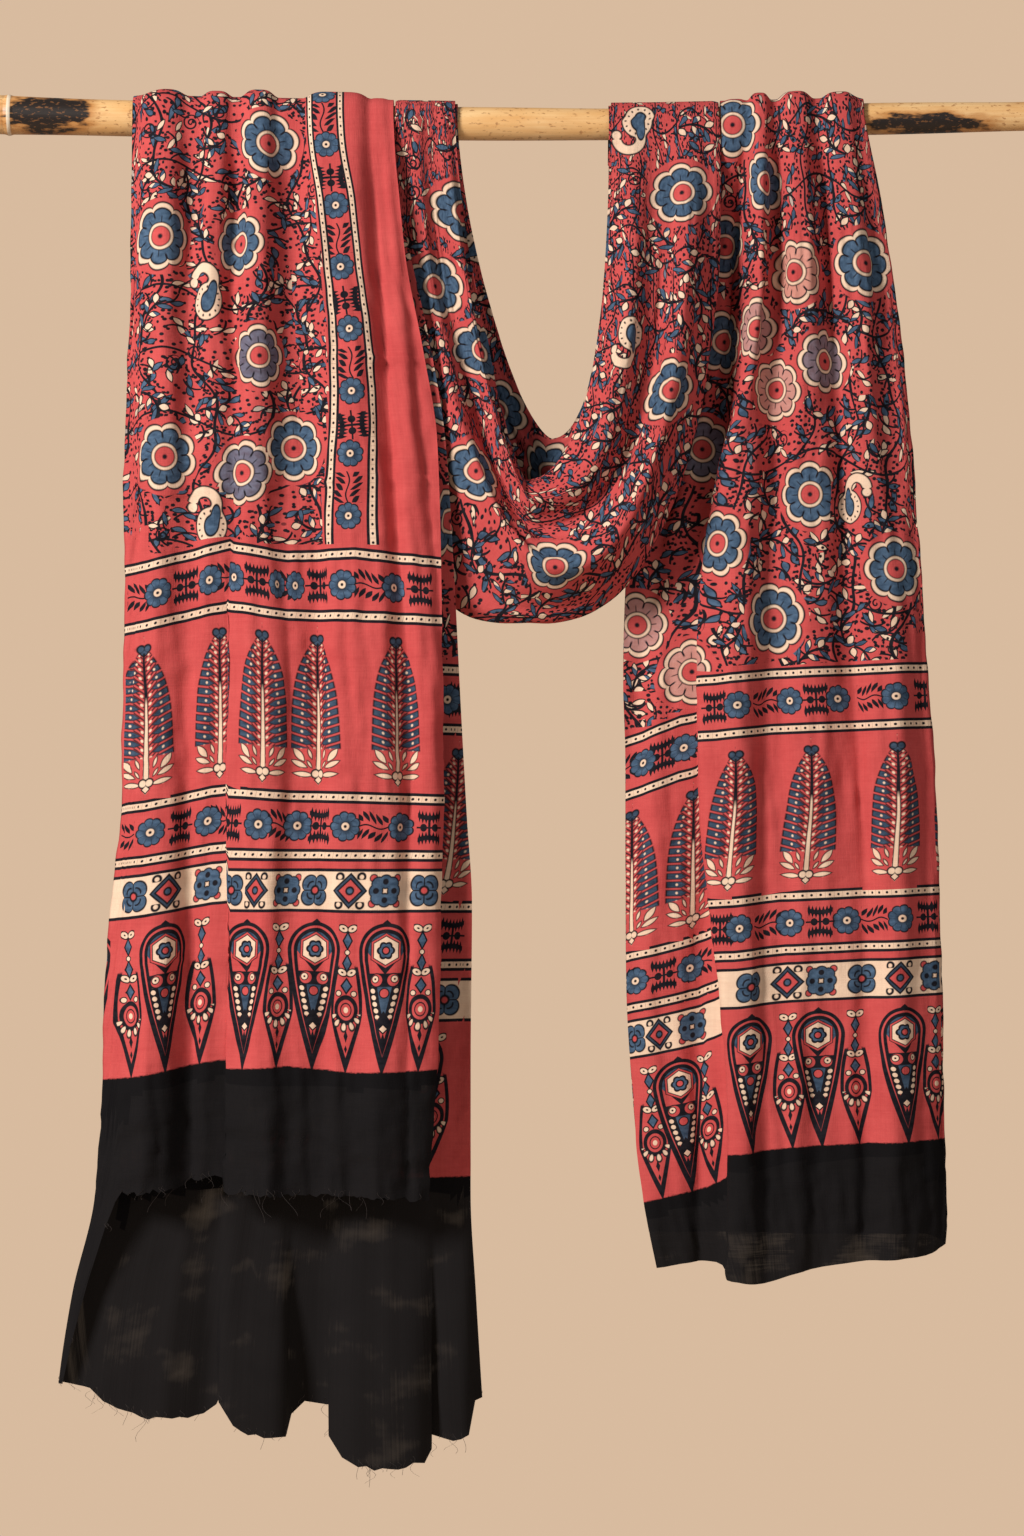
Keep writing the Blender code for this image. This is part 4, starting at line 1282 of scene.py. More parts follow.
def paisley(x, y, red, indigo, cream, line):
    """A drop with a curled tip: a dotted cream body round an indigo heart."""
    body = length((x + 0.08) * 1.18, y + 0.30) - 0.62
    hook_x, hook_y = x - 0.20, y - 0.34
    hook = abs(length(hook_x, hook_y) - 0.40) - 0.20
    hook = hook + hook_y.below(-0.10, 0.3) * (hook_x.above(-0.1, 0.3)) * 0.6
    knob = length(x - 0.60, y - 0.22) - 0.20
    out = body.math("SMOOTH_MIN", hook, 0.18).math("MINIMUM", knob)
    colour = line.paint(cream, out.below(-0.055, 0.04))
    spin = (angle(x + 0.08, y + 0.28) * (13 / (2 * math.pi))).wrapped(1.0)
    dots = length(out + 0.17, spin * 0.30).below(0.045, 0.045)
    colour = colour.paint(line, both(dots, y.below(0.42, 0.1)))
    heart = length((x + 0.10) * 1.5, y + 0.30 - abs(x) * 0.1)
    heart = heart.math("SMOOTH_MIN", length((x + 0.2) * 2.4, y - 0.04), 0.2)
    colour = colour.rings(heart, (line, 0.36), (indigo, 0.29), soft=0.04)
    return {"colour": colour, "mask": out.below(0.0, 0.04)}


def leaf_twig(x, y, red, indigo, cream, line):
    """A bent stem with pairs of leaves, in millimetres."""
    bent = y - x * x * 0.028
    side = abs(bent)
    a, b = turned((x + 1.5).wrapped(9.6) - 1.0, side - 4.8, 50)
    edge = leaf_edge(a, b, 5.6, 2.6)
    leaf = both(edge.above(0.0), abs(x + 0.6).below(13.4, 0.3))
    fill = cream.paint(indigo, (x.math("SIGN") * bent.math("SIGN")).above(0.0, 0.1))
    colour = line.paint(fill, edge.above(0.9))
    stem = both(side.below(1.0, 0.3), abs(x).below(13.0, 0.3))
    berries = both(length((x + 2.5).wrapped(4.8), side - 11.2).below(1.1), abs(x).below(8.5, 0.3))
    return {"colour": colour, "mask": either(either(leaf, stem), berries)}


def dotted_patch(x, y, red, indigo, cream, line):
    """Rows of small dots beside a thin curved stalk, with two leaves."""
    row = y + x * x * 0.02
    dots = length(x.wrapped(4.4), row.wrapped(4.6)).below(1.15)
    dots = both(dots, length(x, y + 2.0).below(9.5, 0.3))
    stalk = both(abs(y - x * x * 0.05 - 3.4).below(0.75, 0.3), abs(x).below(11.0, 0.3))
    a, b = turned(abs(x) - 5.8, y - 8.6, 38)
    edge = leaf_edge(a, b, 5.8, 2.6)
    colour = line.paint(cream.paint(indigo, x.above(0.0, 0.1)), edge.above(0.9))
    return {"colour": colour, "mask": either(either(dots, stalk), edge.above(0.0))}


def curl(x, y, red, indigo, cream, line):
    """A curled tendril with two leaves at its foot."""
    r = length(x - 3.0, y - 2.0)
    turn = angle(x - 3.0, y - 2.0) * (1 / (2 * math.pi))
    coil = (r * (1 / 3.4) - turn).wrapped(1.0)
    mask = both(abs(coil).below(0.20, 0.12), r.below(6.6, 0.3))
    stalk = both(abs(y + x * x * 0.08 + 3.0 - x * 0.3).below(0.75, 0.3), x.within(-11.0, 3.0, 0.3))
    a, b = turned(x + 4.5, y + 8.0, 28)
    edge = leaf_edge(a, b, 5.8, 2.5)
    a, b = turned(x + 7.5, y - 2.5, -42)
    other = leaf_edge(a, b, 5.6, 2.4)
    colour = line.paint(indigo, edge.above(0.9)).paint(cream, other.above(0.9))
    leaves = either(edge.above(0.0), other.above(0.0))
    return {"colour": colour, "mask": either(either(mask, stalk), leaves)}


def small_flower(x, y, red, indigo, cream, line):
    """The borders' flower: indigo petals with a small cream eye."""
    r = length(x, y)
    ribs = abs((angle(x, y) * 4.5).math("COSINE"))
    q = r / (ribs.math("POWER", 0.6) * 0.15 + 0.85)
    petals = indigo.paint(line, both((ribs * r).below(0.09, 0.1), r.within(0.45, 0.95, 0.06)) * 0.7)
    petals = petals.paint(line, r.below(0.42, 0.25) * 0.75)
    colour = line.rings(q, (petals, 0.90), soft=0.06).rings(r, (cream, 0.25), (line, 0.10), soft=0.06)
    return {"colour": colour, "mask": q.below(1.0, 0.06)}


def leaf_spray(x, y, red, indigo, cream, line):
    """A stalk with long slanting black leaves on both sides."""
    bent = y - (x * 0.28).math("SINE") * 1.6
    side = abs(bent)
    stalk = both(side.below(0.6, 0.3), abs(x).below(12.0, 0.3))
    a, b = turned((x - side * 0.1).wrapped(4.9), side - 6.6, 52)
    leaf = both(leaf_edge(a, b, 5.6, 1.6).above(0.0), abs(x).below(11.5, 0.3))
    return {"colour": line, "mask": either(stalk, leaf)}


def barbed(x, y, red, indigo, cream, line):
    """Two barbed bars joined by a knotted stem."""
    side = abs(y)
    bar = side - 7.6 - x * x * 0.022
    mask = both(abs(bar).below(1.8, 0.35), abs(x).below(9.4, 0.3))
    tooth = abs((x + 0.3).wrapped(2.7)).math("MULTIPLY_ADD", -3.2, 5.0)
    mask = either(mask, both(abs(bar).below(tooth), abs(x).below(9.6, 0.3)))
    mask = either(mask, both(abs(x).below(0.9, 0.35), side.below(8.0, 0.3)))
    mask = either(mask, both(side.below(0.7, 0.3), abs(x).below(11.0, 0.3)))
    mask = either(mask, length(abs(x) - 4.4, y * 0.9).below(2.7, 0.35))
    return {"colour": line, "mask": mask}


# The leaves at a tree's foot: their middle, their lean in degrees and half their length and width
FootLeaf = namedtuple("FootLeaf", "side up lean long wide")
FOOT_LEAVES = (
    FootLeaf(0.265, -0.610, 50, 0.125, 0.052), FootLeaf(0.120, -0.600, 68, 0.085, 0.030),
    FootLeaf(0.260, -0.730, 24, 0.130, 0.044), FootLeaf(0.125, -0.735, 55, 0.070, 0.026),
    FootLeaf(0.205, -0.865, 6, 0.155, 0.042),
)


def tree(x, y, red, indigo, cream, line):
    """A tall pointed tree: slanting indigo leaves along a pale stem, over a foot of cream leaves."""
    side = abs(x)
    rise = ((y + 0.53) * (1 / 1.49)).clamped()
    wide = rise.math("POWER", 4.0).math("MULTIPLY_ADD", -0.385, 0.385)
    wide = wide * rise.math("MULTIPLY_ADD", -0.14, 1.0)
    row = (y - side * 0.30 + 0.02).wrapped(0.118)
    crown = both(side.below(wide, 0.02), y.above(-0.53, 0.02))
    point = side.math("MULTIPLY_ADD", 0.5, -0.035).math("MINIMUM", 0.047)
    blade = both(crown, abs(row).below(point, 0.016))
    fill = both(crown, abs(row).below(point - 0.013, 0.016), side.below(wide - 0.022, 0.016))
    colour = line.paint(indigo, fill * 0.6)
    colour = colour.paint(cream, length(row, side - wide * 0.60).below(0.017, 0.014))
    twigs = both(crown, abs((y - side * 0.9).wrapped(0.059)).below(0.015, 0.012), side.below(0.17, 0.02))
    bud = length((y - side * 0.30 + 0.079).wrapped(0.118), side - 0.058)
    buds = both(bud.below(0.022, 0.014), y.below(0.8, 0.1))
    mask = either(blade, twigs * 0.85)
    colour = colour.paint(cream, buds)
    mask = either(mask, both(buds, crown))
    heart = length(side - 0.045, y - 0.905).math("MINIMUM", side * 0.8 + abs(y - 0.85))
    colour = colour.paint(line, heart.below(0.062, 0.015)).paint(indigo, heart.below(0.038, 0.015) * 0.6)
    mask = either(mask, heart.below(0.062, 0.015))
    for leaf in FOOT_LEAVES:
        a, b = turned(side - leaf.side, y - leaf.up, leaf.lean)
        edge = leaf_edge(a, b, leaf.long, leaf.wide)
        colour = colour.paint(line, edge.above(0.0, 0.015)).paint(cream, edge.above(0.014, 0.012))
        mask = either(mask, edge.above(0.0, 0.015))
    stem_width = y * -0.018 + 0.016
    stem = both(side.below(stem_width + 0.014, 0.014), y.within(-0.9, 0.85, 0.02))
    pale = both(side.below(stem_width, 0.012), y.below(0.22, 0.1))
    colour = colour.paint(line, stem).paint(cream, pale)
    knot = length(side - 0.042, y + 0.86).math("MINIMUM", side + abs(y + 0.94))
    colour = colour.rings(knot, (line, 0.066), (cream, 0.044), soft=0.014)
    return {"colour": colour, "mask": either(either(mask, stem), knot.below(0.066, 0.014))}


def medallion(x, y, kind, red, indigo, cream, line):
    """The cream band's three motifs: a four-petalled rosette, a diamond and a ring of petals."""
    r = length(x, y)
    ribs = abs((angle(x, y) * 2).math("SINE"))
    q = r / (ribs.math("POWER", 0.7) * 0.36 + 0.74)
    rosette = line.paint(indigo, q.below(0.86, 0.06))
    rosette = rosette.paint(line, both((ribs * r).below(0.07, 0.08), r.within(0.15, 0.7, 0.05)))
    rosette = rosette.paint(line, both(abs(q - 0.52).below(0.05, 0.05), ribs.above(0.5, 0.2)))
    rosette = rosette.rings(r, (line, 0.30), (red, 0.17), soft=0.06)
    rosette_mask = q.below(0.96, 0.06)
    square = abs(x) + abs(y)
    diamond = line.paint(indigo, abs(square - 0.82).below(0.07, 0.06) * 0.5)
    diamond = diamond.paint(red, square.below(0.62, 0.06))
    diamond = diamond.rings(r, (line, 0.26), (indigo, 0.15), soft=0.06)
    curls = length(abs(x) - 0.62, abs(y) - 0.78)
    curl_mask = both(abs(curls - 0.2).below(0.075, 0.06), abs(y).above(0.62, 0.05))
    diamond_mask = either(square.below(1.03, 0.06), curl_mask)
    near = length(abs(x) - 0.40, abs(y) - 0.40)
    long = length(x, abs(y) - 0.52).math("MINIMUM", length(abs(x) - 0.52, y))
    cup = near.math("MINIMUM", long)
    corner = length(abs(x) - 0.70, abs(y) - 0.72)
    petals = line.paint(red, corner.below(0.17, 0.06))
    petals = petals.rings(cup, (line, 0.42), (indigo, 0.34), soft=0.06)
    petals = petals.paint(line, long.below(0.17, 0.06)).paint(line, r.below(0.17, 0.06))
    petals_mask = either(cup.below(0.42, 0.06), corner.below(0.24, 0.06))
    second, third = kind.above(0.5, 0.1), kind.above(1.5, 0.1)
    colour = rosette.paint(diamond, second).paint(petals, third)
    mask = rosette_mask * second.math("MULTIPLY_ADD", -1.0, 1.0)
    mask = mask + diamond_mask * (second - third) + petals_mask * third
    return {"colour": colour, "mask": mask}


def large_pendant(x, y, red, indigo, cream, line):
    """A long drop with an arched top and a six-sided eye, in millimetres below the cream band."""
    side, low = abs(x), ((y + 25.0) * (-1 / 91.0)).clamped()
    wide = low.math("POWER", 1.4).math("MULTIPLY_ADD", -20.5, 20.5)
    inside = wide - length(x, (y + 25.0).math("MAXIMUM", 0.0))
    edge = low.math("MULTIPLY_ADD", 1.8, 2.8)
    colour = red.paint(line, inside.below(edge))
    colour = colour.paint(line, inside.within(4.4, 7.0))
    vee = (y + 42.0) * 0.85 - side
    above = vee.above(0.0, 0.5)
    colour = colour.paint(line, both(inside.above(6.4), above))
    colour = colour.paint(indigo, both(inside.within(7.2, 9.0), above) * 0.7)
    six = (side * 0.5 + abs(y + 24.5) * 0.866).math("MAXIMUM", side)
    colour = colour.rings(six, (line, 11.4), (red, 10.8), (line, 9.6), (cream, 8.9))
    eye = length(x, y + 24.5)
    petals = eye / (abs((angle(x, y + 24.5) * 3).math("COSINE")) * 0.2 + 0.85)
    colour = colour.rings(petals, (line, 6.6), (indigo, 5.0)).rings(eye, (line, 3.2), (red, 2.1))
    colour = colour.paint(line, both(inside.above(6.0), y.within(-52.0, -41.0, 0.6)))
    beaded = y.within(-74.0, -51.0, 1.0)
    colour = colour.paint(line, both(inside.above(5.0), beaded))
    colour = colour.paint(indigo, both(inside.above(11.5), beaded) * 0.7)
    beads = length(inside - 7.6, (y + 1.0).wrapped(4.8))
    colour = colour.paint(cream, both(beads.below(1.75), beaded))
    colour = colour.rings(length(side - 6.2, y + 46.0), (line, 5.2), (red, 4.3))
    colour = colour.rings(length(side - 7.2, y + 45.2), (line, 3.0), (cream, 2.3), (line, 0.8))
    colour = colour.rings(length(x, y + 55.5), (line, 3.9), (red, 3.0))
    colour = colour.rings(side + abs(y + 77.0) * 0.7, (line, 6.0))
    colour = colour.rings(side + abs(y + 81.5), (line, 4.0), (cream, 2.6))
    colour = colour.rings(side * 1.7 + abs(y + 91.0) * 0.5, (line, 3.2))
    peak = side * 0.8 + abs(y + 4.6)
    shape = either(both(inside.above(0.0), y.below(-1.0)), peak.below(2.6))
    return {"colour": colour.paint(line, peak.below(2.6)), "mask": shape}


def narrow_pendant(x, y, red, indigo, cream, line):
    """A slim drop hung from a bow, with its eye low down, in millimetres below the cream band."""
    side = abs(x)
    low = ((y + 71.0) * (-1 / 44.0)).clamped()
    high = ((y + 71.0) * (1 / 32.0)).math("MAXIMUM", 0.0)
    inside = low.math("POWER", 1.15).math("MULTIPLY_ADD", -12.2, 12.2) - high * high * 3.5 - side
    edge = low.math("MULTIPLY_ADD", 1.6, 2.7)
    outline = both(inside.below(edge), y.below(-36.0, 2.0))
    colour = red.paint(line, outline)
    for centre, half, tall in ((-17.5, 4.0, 7.5), (-34.0, 3.8, 7.5), (-50.5, 4.6, 6.5)):
        drop = side * (1 / half) + abs(y - centre) * (1 / tall)
        colour = colour.rings(drop, (line, 1.0), (indigo, 0.68), soft=0.08)
    for centre in (-9.5, -41.5):
        wing = length((side - 3.4) * 0.75, y - centre - side * 0.25)
        colour = colour.rings(wing, (line, 3.2), (cream, 2.3), (line, 0.7))
    colour = colour.rings(length(x, y + 26.0), (line, 2.3), (cream, 1.5))
    colour = colour.rings(length(side - 5.6, y + 56.0), (line, 2.5), (cream, 1.7))
    eye = length(x, (y + 68.0) * 0.8)
    colour = colour.rings(eye, (line, 8.8), (red, 6.0), (line, 4.3), (red, 3.5), (cream, 1.7))
    around = angle(x, y + 68.0) * (13 / (2 * math.pi))
    petal = length(around.wrapped(1.0) * 4.2, (eye - 10.0) * 0.5)
    below = both(y.below(-71.0, 1.0), inside.above(1.5))
    for dye, limit in ((line, 1.7), (cream, 1.05)):
        colour = colour.paint(dye, both(petal.below(limit), below))
    colour = colour.rings(side * 1.8 + abs(y + 87.0) * 0.6, (line, 2.9))
    colour = colour.rings(side * 1.8 + abs(y + 96.5) * 0.7, (line, 2.1))
    chain = both(side.below(6.8), y.within(-54.0, -5.0, 0.5))
    return {"colour": colour, "mask": either(both(inside.above(0.0), y.below(-36.0, 0.5)), chain)}


def dotted_strip(x, y, red, indigo, cream, line):
    """A cream strip with black dots between black lines: x is the distance from its middle."""
    off = abs(x)
    colour = line.paint(cream, off.below(2.3, 0.35))
    colour = colour.paint(line, length(x, y.wrapped(6.9)).below(1.05))
    bars = both(abs((y + 3.45).wrapped(6.9)).below(0.25, 0.3), off.below(2.0, 0.3))
    colour = colour.paint(line, bars * 0.3)
    return {"colour": colour, "mask": off.below(4.6, 0.35)}


def sprout(x, y, kind, red, indigo, cream, line):
    """A short stem with two leaves and four dots. kind says which dye fills the leaves."""
    bent = y - x * x * 0.05
    stem = both(abs(bent).below(0.8, 0.3), abs(x).below(7.6, 0.3))
    a, b = turned(x - 2.8, bent - 3.6, 40)
    c, d = turned(x + 1.9, bent + 3.6, 38)
    edge = either(leaf_edge(a, b, 5.6, 2.5), leaf_edge(c, d, 5.4, 2.4))
    colour = line.paint(cream.paint(indigo, kind.above(0.36, 0.02)), edge.above(0.85))
    dots = length(abs(x) - 5.9, abs(y) - 5.0).below(1.15)
    return {"colour": colour, "mask": either(either(stem, edge.above(0.0)), dots)}


RED_LIGHT = (0.62, 0.098, 0.094)
RED_DARK = (0.46, 0.055, 0.056)
INDIGO_LIGHT = (0.088, 0.148, 0.238)
INDIGO_DARK = (0.034, 0.063, 0.110)
CREAM_LIGHT = (0.86, 0.66, 0.49)
CREAM_DARK = (0.70, 0.46, 0.33)
LINE_DARK = (0.006, 0.006, 0.010)
LINE_LIGHT = (0.018, 0.016, 0.021)
BLACK_DYE = (0.0050, 0.0044, 0.0052)
BLACK_WORN = (0.0150, 0.0130, 0.0135)


def dyes(flat):
    """The print's dyes, each uneven as hand-laid dye is."""
    tree_ = flat.tree
    cloud = noise(tree_, flat, 0.035, detail=4.0)
    mottle = noise(tree_, flat, 0.22, detail=3.0)
    slubs = weave(tree_, flat, 0.9, 0.03) * 0.5
    share = (cloud * 0.9 + slubs * 0.9 + mottle * 0.4 - 0.6).clamped()
    blot = (mottle * 2.2 + cloud * 0.8 - 1.05).clamped()
    return {
        "red": blended(tree_, RED_DARK, RED_LIGHT, share),
        "indigo": blended(tree_, INDIGO_DARK, INDIGO_LIGHT, blot),
        "cream": blended(tree_, CREAM_DARK, CREAM_LIGHT, share),
        "line": blended(tree_, LINE_DARK, LINE_LIGHT, blot),
    }


def surface(flat):
    """The weave's and crumples' normal."""
    tree_ = flat.tree
    crumple = noise(tree_, flat, 0.10, (1.0, 0.7, 0.0), 5.0)
    threads = weave(tree_, flat, 1.4, 0.10)
    return {"normal": bumped(tree_, crumple + threads * 0.22, 0.5, 0.0016)}


def make_groups():
    shared = {"flat": "vector"}
    return {
        "dyes": node_group("Dyes", shared, {dye: "colour" for dye in DYES}, dyes),
        "surface": node_group("Cloth surface", shared, {"normal": "vector"}, surface),
        "flower": motif_group("Scalloped flower", scalloped_flower, True),
        "paisley": motif_group("Paisley", paisley),
        "twig": motif_group("Leaf twig", leaf_twig),
        "dots": motif_group("Dotted patch", dotted_patch),
        "curl": motif_group("Curl", curl),
        "sprout": motif_group("Sprout", sprout, True),
        "small": motif_group("Small flower", small_flower),
        "spray": motif_group("Leaf spray", leaf_spray),
        "barbed": motif_group("Barbed bars", barbed),
        "tree": motif_group("Tree", tree),
        "medallion": motif_group("Medallion", medallion, True),
        "large": motif_group("Large pendant", large_pendant),
        "narrow": motif_group("Narrow pendant", narrow_pendant),
        "strip": motif_group("Dotted strip", dotted_strip),
    }


class Cloth:
    """One material of the cloth while it is being painted."""

    def __init__(self, name, groups):
        self.material = bpy.data.materials.new(name)
        self.material.use_nodes = True
        self.tree = self.material.node_tree
        self.groups = groups
        self.shader = self.tree.nodes["Principled BSDF"]
        self.flat, (self.across, self.along, self.band) = attribute(self.tree, "flat")
        self.dyes = use(self.tree, groups["dyes"], flat=self.flat)
        self.colour = self.dyes["red"]

    def lay(self, name, x, y, share=None, **more):
        """Paints a motif group over the colour, where share allows it."""
        made = use(self.tree, self.groups[name], x=x, y=y, **more, **self.dyes)
        mask = made["mask"] if share is None else made["mask"] * share
        self.colour = self.colour.paint(made["colour"], mask)

    def lay_cream(self):
        half = (CREAM_FOOT - CREAM_TOP) / 2
        off = abs(self.band - (CREAM_TOP + CREAM_FOOT) / 2)
        self.colour = self.colour.paint(self.dyes["line"], off.below(half + 2.3))
        self.colour = self.colour.paint(self.dyes["cream"], off.below(half))

    def lay_black(self):
        bleed = noise(self.tree, self.flat, 0.5, detail=4.0) * 2.4 - 1.2
        self.colour = self.colour.paint(BLACK_DYE, (self.band + bleed).above(BLACK_START, 1.2))

    def finish(self, alpha=None):
        normal = use(self.tree, self.groups["surface"], flat=self.flat)["normal"]
        connect(self.tree, self.colour, self.shader.inputs["Base Color"])
        connect(self.tree, normal, self.shader.inputs["Normal"])
        self.shader.inputs["Roughness"].default_value = 0.92
        self.shader.inputs["Specular IOR Level"].default_value = 0.12
        if alpha is not None:
            connect(self.tree, alpha, self.shader.inputs["Alpha"])
        return self.material


def one_of(kind, number):
    return kind.within(number - 0.5, number + 0.5, 0.02)


DOT_PITCH = 6.6
SPROUT_PITCH = 17.5


def field_material(groups):
    cloth = Cloth(MATERIAL_NAMES[FIELD], groups)
    _, (x, y, kind) = attribute(cloth.tree, "sprig")
    wave = (cloth.along * (1 / 19.0)).math("SINE") * 8 + (cloth.along * (1 / 7.3) + 1).math("SINE") * 2.5
    vine = (cloth.across + wave).wrapped(37.0)
    cross = (cloth.along + (cloth.across * (1 / 16.0)).math("SINE") * 10).wrapped(52.0)
    spot_x, spot_y, pick = cells(cloth.tree, cloth.flat, DOT_PITCH)
    dots = both(length(spot_x, spot_y).below(1.35), pick.above(0.24, 0.02))
    cloth.colour = cloth.colour.paint(cloth.dyes["line"], dots)
    sprout_x, sprout_y, pick = cells(cloth.tree, cloth.flat, SPROUT_PITCH)
    cloth.lay("sprout", sprout_x, sprout_y, kind=pick)
    mask = either(abs(vine).below(1.1, 0.35), abs(cross).below(0.95, 0.35))
    row = both(abs(abs(vine) - 4.9).below(1.0), abs(cloth.along.wrapped(4.6)).below(1.0, 0.5))
    cloth.colour = cloth.colour.paint(cloth.dyes["line"], either(mask, row))
    cloth.lay("twig", x, y, one_of(kind, 0))
    cloth.lay("dots", x, y, one_of(kind, 1))
    cloth.lay("curl", x, y, one_of(kind, 2))
    _, (x, y, kind) = attribute(cloth.tree, "motif")
    halo = length(x, y).below(1.10, 0.03)
    cloth.colour = cloth.colour.paint(cloth.dyes["red"], halo * kind.below(0.95, 0.02))
    cloth.lay("flower", x, y, kind.below(0.95, 0.02), kind=kind)
    cloth.lay("paisley", x, y, kind.above(0.95, 0.02))
    return cloth.finish()


def border_material(groups):
    cloth = Cloth(MATERIAL_NAMES[BORDER], groups)
    _, (off, run, _) = attribute(cloth.tree, "strip")
    _, (x, y, kind) = attribute(cloth.tree, "sprig")
    cloth.lay("spray", x, y, one_of(kind, 0))
    cloth.lay("barbed", x, y, one_of(kind, 1))
    _, (x, y, _) = attribute(cloth.tree, "motif")
    cloth.lay("small", x, y)
    cloth.lay("strip", off, run)
    return cloth.finish()


def tree_material(groups):
    cloth = Cloth(MATERIAL_NAMES[TREES], groups)
    _, (x, y, _) = attribute(cloth.tree, "motif")
    cloth.lay("tree", x, y)
    return cloth.finish()


def medallion_material(groups):
    cloth = Cloth(MATERIAL_NAMES[MEDALLIONS], groups)
    cloth.lay_cream()
    _, (x, y, kind) = attribute(cloth.tree, "motif")
    cloth.lay("medallion", x, y, kind=kind)
    return cloth.finish()


def pendant_material(groups):
    cloth = Cloth(MATERIAL_NAMES[PENDANTS], groups)
    _, (x, y, _) = attribute(cloth.tree, "sprig")
    cloth.lay("narrow", x, y)
    _, (x, y, _) = attribute(cloth.tree, "motif")
    cloth.lay("large", x, y)
    cloth.lay_black()
    return cloth.finish()


def edge_material(groups):
    """All the bands in one, for the steep faces that turn round the lengthwise fold."""
    cloth = Cloth(MATERIAL_NAMES[EDGE], groups)
    _, (off, run, band) = attribute(cloth.tree, "strip")
    in_border, in_pendants = one_of(band, BORDER), one_of(band, PENDANTS)
    _, (x, y, kind) = attribute(cloth.tree, "sprig")
    cloth.lay("spray", x, y, in_border * one_of(kind, 0))
    cloth.lay("barbed", x, y, in_border * one_of(kind, 1))
    cloth.lay("narrow", x, y, in_pendants)
    _, (x, y, kind) = attribute(cloth.tree, "motif")
    cloth.lay("small", x, y, in_border)
    cloth.lay("tree", x, y, one_of(band, TREES))
    cloth.lay("large", x, y, in_pendants)
    cloth.lay_cream()
    cloth.lay("medallion", x, y, one_of(band, MEDALLIONS), kind=kind)
    cloth.lay("strip", off, run)
    cloth.lay_black()
    return cloth.finish()


def black_material(groups):
    """The dyed end: black, thin enough that light comes through it here and there."""
    cloth = Cloth(MATERIAL_NAMES[BLACK], groups)
    cloud = noise(cloth.tree, cloth.flat, 0.03, detail=3.0)
    threads = weave(cloth.tree, cloth.flat, 1.1, 0.05)
    bright = (cloud * 0.5 + threads * 0.3).math("MULTIPLY_ADD", 1.6, -0.35)
    cloth.colour = cloth.colour.paint(BLACK_DYE, 1.0)
    cloth.colour = cloth.colour.paint(BLACK_WORN, bright.clamped() * 0.6)
    sheer = (cloud * 2.2 + threads * 0.5 - 1.75).clamped() * 0.10 + 0.003
    return cloth.finish(alpha=sheer.math("MULTIPLY_ADD", -1.0, 1.0))


def add_piece(name, shape, *materials):
    """Makes an object from a shape."""
    mesh = bpy.data.meshes.new(name)
    shape.to_mesh(mesh)
    shape.free()
    for material in materials:
        mesh.materials.append(material)
    piece = bpy.data.objects.new(name, mesh)
    bpy.context.scene.collection.objects.link(piece)
    return piece


def plain_material(name, colour, roughness):
    made = bpy.data.materials.new(name)
    made.use_nodes = True
    shader = made.node_tree.nodes["Principled BSDF"]
    shader.inputs["Base Color"].default_value = (*colour, 1.0)
    shader.inputs["Roughness"].default_value = roughness
    return made


def make_cloth():
    sheet = Sheet()
    rows, across = sheet.points.shape[:2]
    shape = bmesh.new()
    bmesh.ops.create_grid(shape, x_segments=across - 1, y_segments=rows - 1, size=1)
    row_of = np.empty(len(shape.verts), int)
    column_of = np.empty(len(shape.verts), int)
    points = sheet.points / METRE
    for number, vert in enumerate(shape.verts):
        row_of[number] = round((vert.co.y + 1) / 2 * (rows - 1))
        column_of[number] = round((vert.co.x + 1) / 2 * (across - 1))
        vert.co = points[row_of[number], column_of[number]]
    groups = make_groups()
    makers = (
        field_material, border_material, tree_material, medallion_material,
        pendant_material, black_material, edge_material,
    )
    cloth = add_piece("cloth_sheet", shape, *[make(groups) for make in makers])
    print_attributes(sheet, cloth.data, row_of, column_of)
    cloth.data.shade_smooth()
    return cloth, sheet


# Bamboo
STRAW_LIGHT = (0.94, 0.66, 0.34)
STRAW_DARK = (0.68, 0.35, 0.12)
SCORCH_HALO = (0.45, 0.17, 0.035)
SCORCH = (0.016, 0.010, 0.008)
POLE_RINGS = 150
FINE_POLE_SIDES = 64
Burn = namedtuple("Burn", "across half down half_down")
BURNS = (Burn(99, 34, 2.5, 15.0), Burn(764, 46, 10.5, 8.0))
NODE_ACROSS = 70.0


